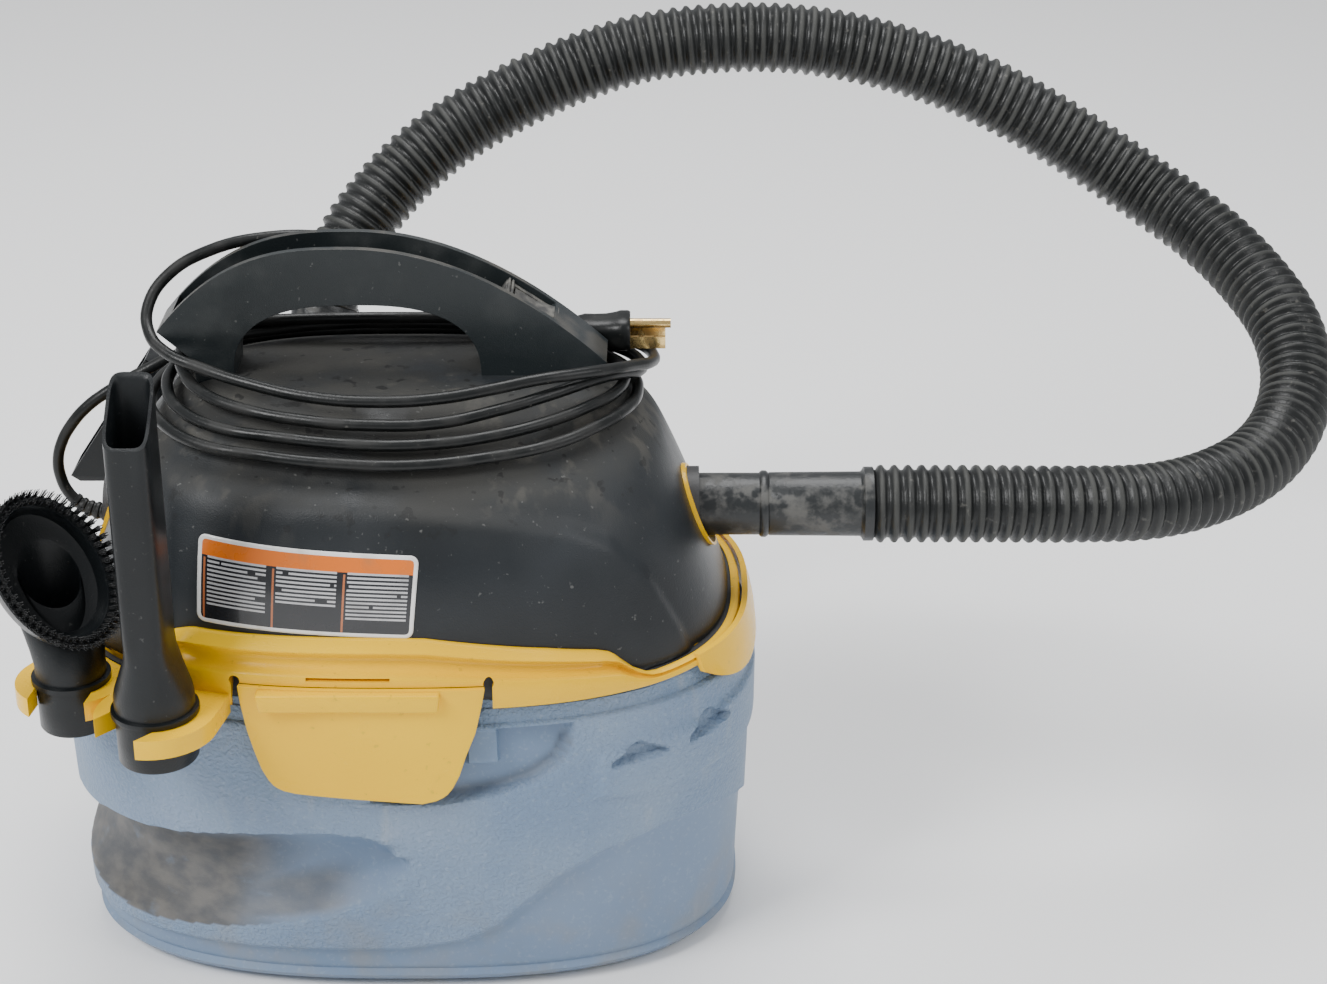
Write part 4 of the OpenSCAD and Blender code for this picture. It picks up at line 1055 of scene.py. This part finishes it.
relief_line = smooth_line([(-152, 30, 203), *CORD_ROUTE[:5]], 0.8)
relief_bm = swept(relief_line[:34], 24, lambda i: (6 if i < 4 else 5.4 - 1.6 * i / 34
                                                   - (0.7 if i % 5 in (3, 4) and i < 30 else 0)))
strain_relief = finished(relief_bm, "cord_strain_relief", cord_rubber.material)
belongs(strain_relief, "head", "cord_rubber", "cord_gland")

# ---- plug ----------------------------------------------------------------------------------------
# A moulded three-pin plug lies on the housing behind the handle's right end,
# with two flat brass blades and a round earth pin.
PLUG_AT = Vector((86, 28, 306))
# rows: distance along the plug, half width, half height, how square
PLUG_ROWS = ((-20, 3.2, 3.2, 2), (-20, 4.5, 4.5, 2), (-16, 4.5, 4.5, 2), (-15.6, 3.9, 3.9, 2),
             (-14, 3.9, 3.9, 2), (-13.6, 4.7, 4.7, 2), (-10, 4.8, 4.8, 2), (-9.6, 4.1, 4.1, 2),
             (-8, 4.1, 4.1, 2), (-7.6, 5, 5, 2), (-3, 5.2, 5.2, 2), (-1, 6, 5.8, 2.2), (2, 8.6, 7, 2.5),
             (6, 10.4, 7.6, 2.8), (11, 10.2, 7.4, 2.9), (17, 10.2, 7.6, 3), (22, 11.4, 8.4, 3),
             (24, 12, 9, 3), (28, 12, 9, 3), (29, 11.3, 8.3, 3), (29, 6, 4, 2.4))


def plug_place(u, v):
    i = round(v * (len(PLUG_ROWS) + 1)) - 1
    x, wide, tall, power = PLUG_ROWS[min(max(i, 0), len(PLUG_ROWS) - 1)]
    y, z = outline(u, wide, tall, power)
    inside = 0 <= i < len(PLUG_ROWS)
    return PLUG_AT + Vector((x, y * inside, z * inside))


plug = finished(bent_grid(48, len(PLUG_ROWS) + 1, plug_place), "plug_moulding", cord_rubber.material,
                smooth=50)
belongs(plug, "head", "cord_rubber", "plug_body")


def plain_finish(name, roughness, first, second, scale, metallic=0.0, depth=0.00008, smooth=None,
                 grain=900, **sockets):
    """A finish for a small part: two tones in clouds, a change of shine, and a fine grain."""
    made = Finish(name, roughness, Metallic=metallic, **sockets)
    cloud = made.speckle(scale, 0.35, 0.7, 4)
    made.base(cloud, first, second)
    made.shine(cloud, roughness if smooth is None else smooth, min(1, roughness + 0.18))
    made.bumped(made.speckle(grain, 0.3, 0.7, 2), depth, 0.5)
    return made.material


def dress(material, *nodes):
    for node in nodes:
        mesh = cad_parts[node].data
        mesh.materials.clear()
        mesh.materials.append(material)


dress(plain_finish("pin_brass", 0.2, (0.83, 0.6, 0.25), (0.6, 0.4, 0.16), 200, 1.0, 0.00003),
      "plug_blades", "plug_ground_pin")

# ---- suction hose --------------------------------------------------------------------------------
# A corrugated hose of black polyethylene, 1.2 m with its smooth ends, stiff enough to stand in an
# arch from the port to the holder behind the tank. Its crests are dusty, and carry a painted highlight.
HOSE_ROUTE = [
    (239, 0, 222), (262, 0, 222), (300, 2, 221), (345, 8, 218), (385, 20, 214), (420, 40, 213),
    (450, 65, 217), (470, 92, 227), (480, 122, 243), (478, 155, 260), (464, 190, 276),
    (442, 220, 292), (412, 242, 309), (378, 255, 329), (340, 264, 350), (300, 269, 368),
    (255, 272, 382), (210, 272, 390), (165, 271, 391), (120, 268, 386), (78, 262, 374),
    (40, 254, 358), (8, 244, 341), (-18, 231, 322), (-38, 216, 302), (-51, 203, 283), (-58, 195, 268),
    (-61, 191, 259)]
RIDGE_ROWS = 6
RIDGE_SHAPE = (17.3, 17.5, 19.3, 20, 19.8, 18.2)
VALLEY, CREST = min(RIDGE_SHAPE), max(RIDGE_SHAPE)
hose_line = smooth_line(HOSE_ROUTE, 7 / RIDGE_ROWS)
hose_bm = swept(hose_line, 40, lambda i: RIDGE_SHAPE[i % RIDGE_ROWS])
crest_layer = hose_bm.verts.layers.float.new("crest")
chart = hose_bm.loops.layers.uv["uv"]
for v in hose_bm.verts:
    if v.link_loops:
        i = round(v.link_loops[0][chart].uv.y * (len(hose_line) + 1)) - 1
        v[crest_layer] = (RIDGE_SHAPE[i % RIDGE_ROWS] - VALLEY) / (CREST - VALLEY)
hose_black = Finish("hose_black", 0.42, Specular_IOR_Level=0.34)
crest = hose_black.ramp(hose_black.painted("crest"), 0.55, 1.0)
# Grey on the ridge crests: dust, together with a painted highlight.
settled = hose_black.times(crest, hose_black.speckle(35, 0.3, 0.65, 4))
hose_black.base(hose_black.speckle(30, 0.3, 0.7, 3), (0.007, 0.008, 0.008), (0.015, 0.016, 0.016))
hose_black.over(settled, 0.6, (0.075, 0.076, 0.07))
hose_black.over(hose_black.speckle(260, 0.62, 0.75, 4), 0.4, (0.16, 0.155, 0.14))
hose_black.shine(settled, 0.36, 0.66).bumped(hose_black.speckle(700, 0.3, 0.7, 3), 0.0001, 0.5)
hose = finished(hose_bm, "suction_hose", hose_black.material, smooth=0)
belongs(hose, "head", "hose_plastic", "hose_tube")


def turned(name, profile, matrix, material):
    """A piece turned on a lathe: profile is (radius, height) in millimetres, spun round Z."""
    bm = bmesh.new()
    points = [bm.verts.new((r * MM, 0, z * MM)) for r, z in profile]
    lines = [bm.edges.new(pair) for pair in zip(points, points[1:] + points[:1])]
    bmesh.ops.spin(bm, geom=points + lines, cent=(0, 0, 0), axis=(0, 0, 1), angle=math.tau,
                   steps=64, use_merge=True)
    bmesh.ops.remove_doubles(bm, verts=bm.verts, dist=2e-6)
    bmesh.ops.recalc_face_normals(bm, faces=bm.faces)
    bmesh.ops.transform(bm, matrix=matrix, verts=bm.verts)
    return finished(bm, name, material, smooth=35)


cuff_black = Finish("cuff_black", 0.4, Specular_IOR_Level=0.42)
scuff = cuff_black.speckle(34, 0.44, 0.66, 6, rough=0.65)
chalk = cuff_black.times(scuff, cuff_black.speckle(150, 0.4, 0.62, 4))
cuff_black.base(cuff_black.speckle(12, 0.3, 0.7, 2), (0.008, 0.009, 0.01), (0.018, 0.02, 0.021))
cuff_black.over(chalk, 0.42, (0.2, 0.195, 0.18))
cuff_black.shine(chalk, 0.34, 0.7).bumped(cuff_black.speckle(500, 0.3, 0.7, 4), 0.00012, 0.5)
along_x = Matrix.Translation((0, 0, PORT_HIGH * MM)) @ Matrix.Rotation(math.radians(90), 4, "Y")
port_cuff = turned("hose_port_cuff_turned", (
    (13.5, 134), (15.3, 134), (15.9, 134.8), (15.9, 180.6), (16.4, 181), (17.1, 182), (17.1, 184),
    (16.4, 185), (15.9, 185.4), (16.2, 186), (16.4, 212), (16.6, 232.2), (17.2, 233), (19, 234),
    (19, 238.6), (18.4, 239), (13.5, 239)), along_x, cuff_black.material)
belongs(port_cuff, "head", "black_plastic", "hose_port_cuff")
hose_end_place = (Matrix.Translation((-0.075, 0.17, 0.178)) @ Matrix.Rotation(math.radians(10), 4, "Y")
                  @ Matrix.Rotation(math.radians(-14), 4, "X"))
end_cuff = turned("hose_end_cuff_turned", (
    (16, -25.6), (16.4, -26), (18, -26), (18.5, -25.4), (18.5, 60), (17.6, 61), (17.6, 63), (18.5, 64),
    (18.5, 85.2), (18, 86), (10, 86), (10, 73), (16, 73)), hose_end_place, cuff_black.material)
belongs(end_cuff, "head", "black_plastic", "hose_end_cuff")

# ---- inside --------------------------------------------------------------------------------------
# The air path, motor, fan, filter and float sit under the dome and the deck.
# They show when the head is lifted off, or not at all.
dress(plain_finish("inner_black", 0.5, (0.03, 0.03, 0.032), (0.05, 0.05, 0.05), 30),
      "inlet_elbow", "exhaust_duct", "fan_housing", "filter_cage")
dress(plain_finish("gasket_rubber", 0.6, (0.02, 0.02, 0.021), (0.035, 0.035, 0.035), 60, depth=0.0001),
      "lid_gasket")
dress(plain_finish("float_white", 0.35, (0.72, 0.71, 0.67), (0.6, 0.58, 0.52), 25), "float_valve")
dress(plain_finish("wound_copper", 0.3, (0.6, 0.26, 0.1), (0.42, 0.18, 0.07), 90, 1.0, 0.0002, grain=500),
      "armature", "commutator", "brush_holders")
dress(plain_finish("motor_steel", 0.35, (0.46, 0.46, 0.47), (0.36, 0.36, 0.37), 60, 1.0),
      "motor_mount", "motor_stator", "bearing_bridge", "lower_bearing", "upper_bearing", "motor_shaft",
      "housing_screws")
dress(plain_finish("fan_aluminium", 0.32, (0.62, 0.62, 0.63), (0.5, 0.5, 0.51), 50, 1.0), "fan_impeller")
foam = Finish("filter_foam", 0.9, Specular_IOR_Level=0.2)
cells = foam.speckle(650, 0.35, 0.6, 2)
foam.base(cells, (0.012, 0.012, 0.013), (0.05, 0.05, 0.052))
foam.shine(cells, 0.8, 0.95).bumped(cells, 0.0008, 0.9)
dress(foam.material, "foam_filter")
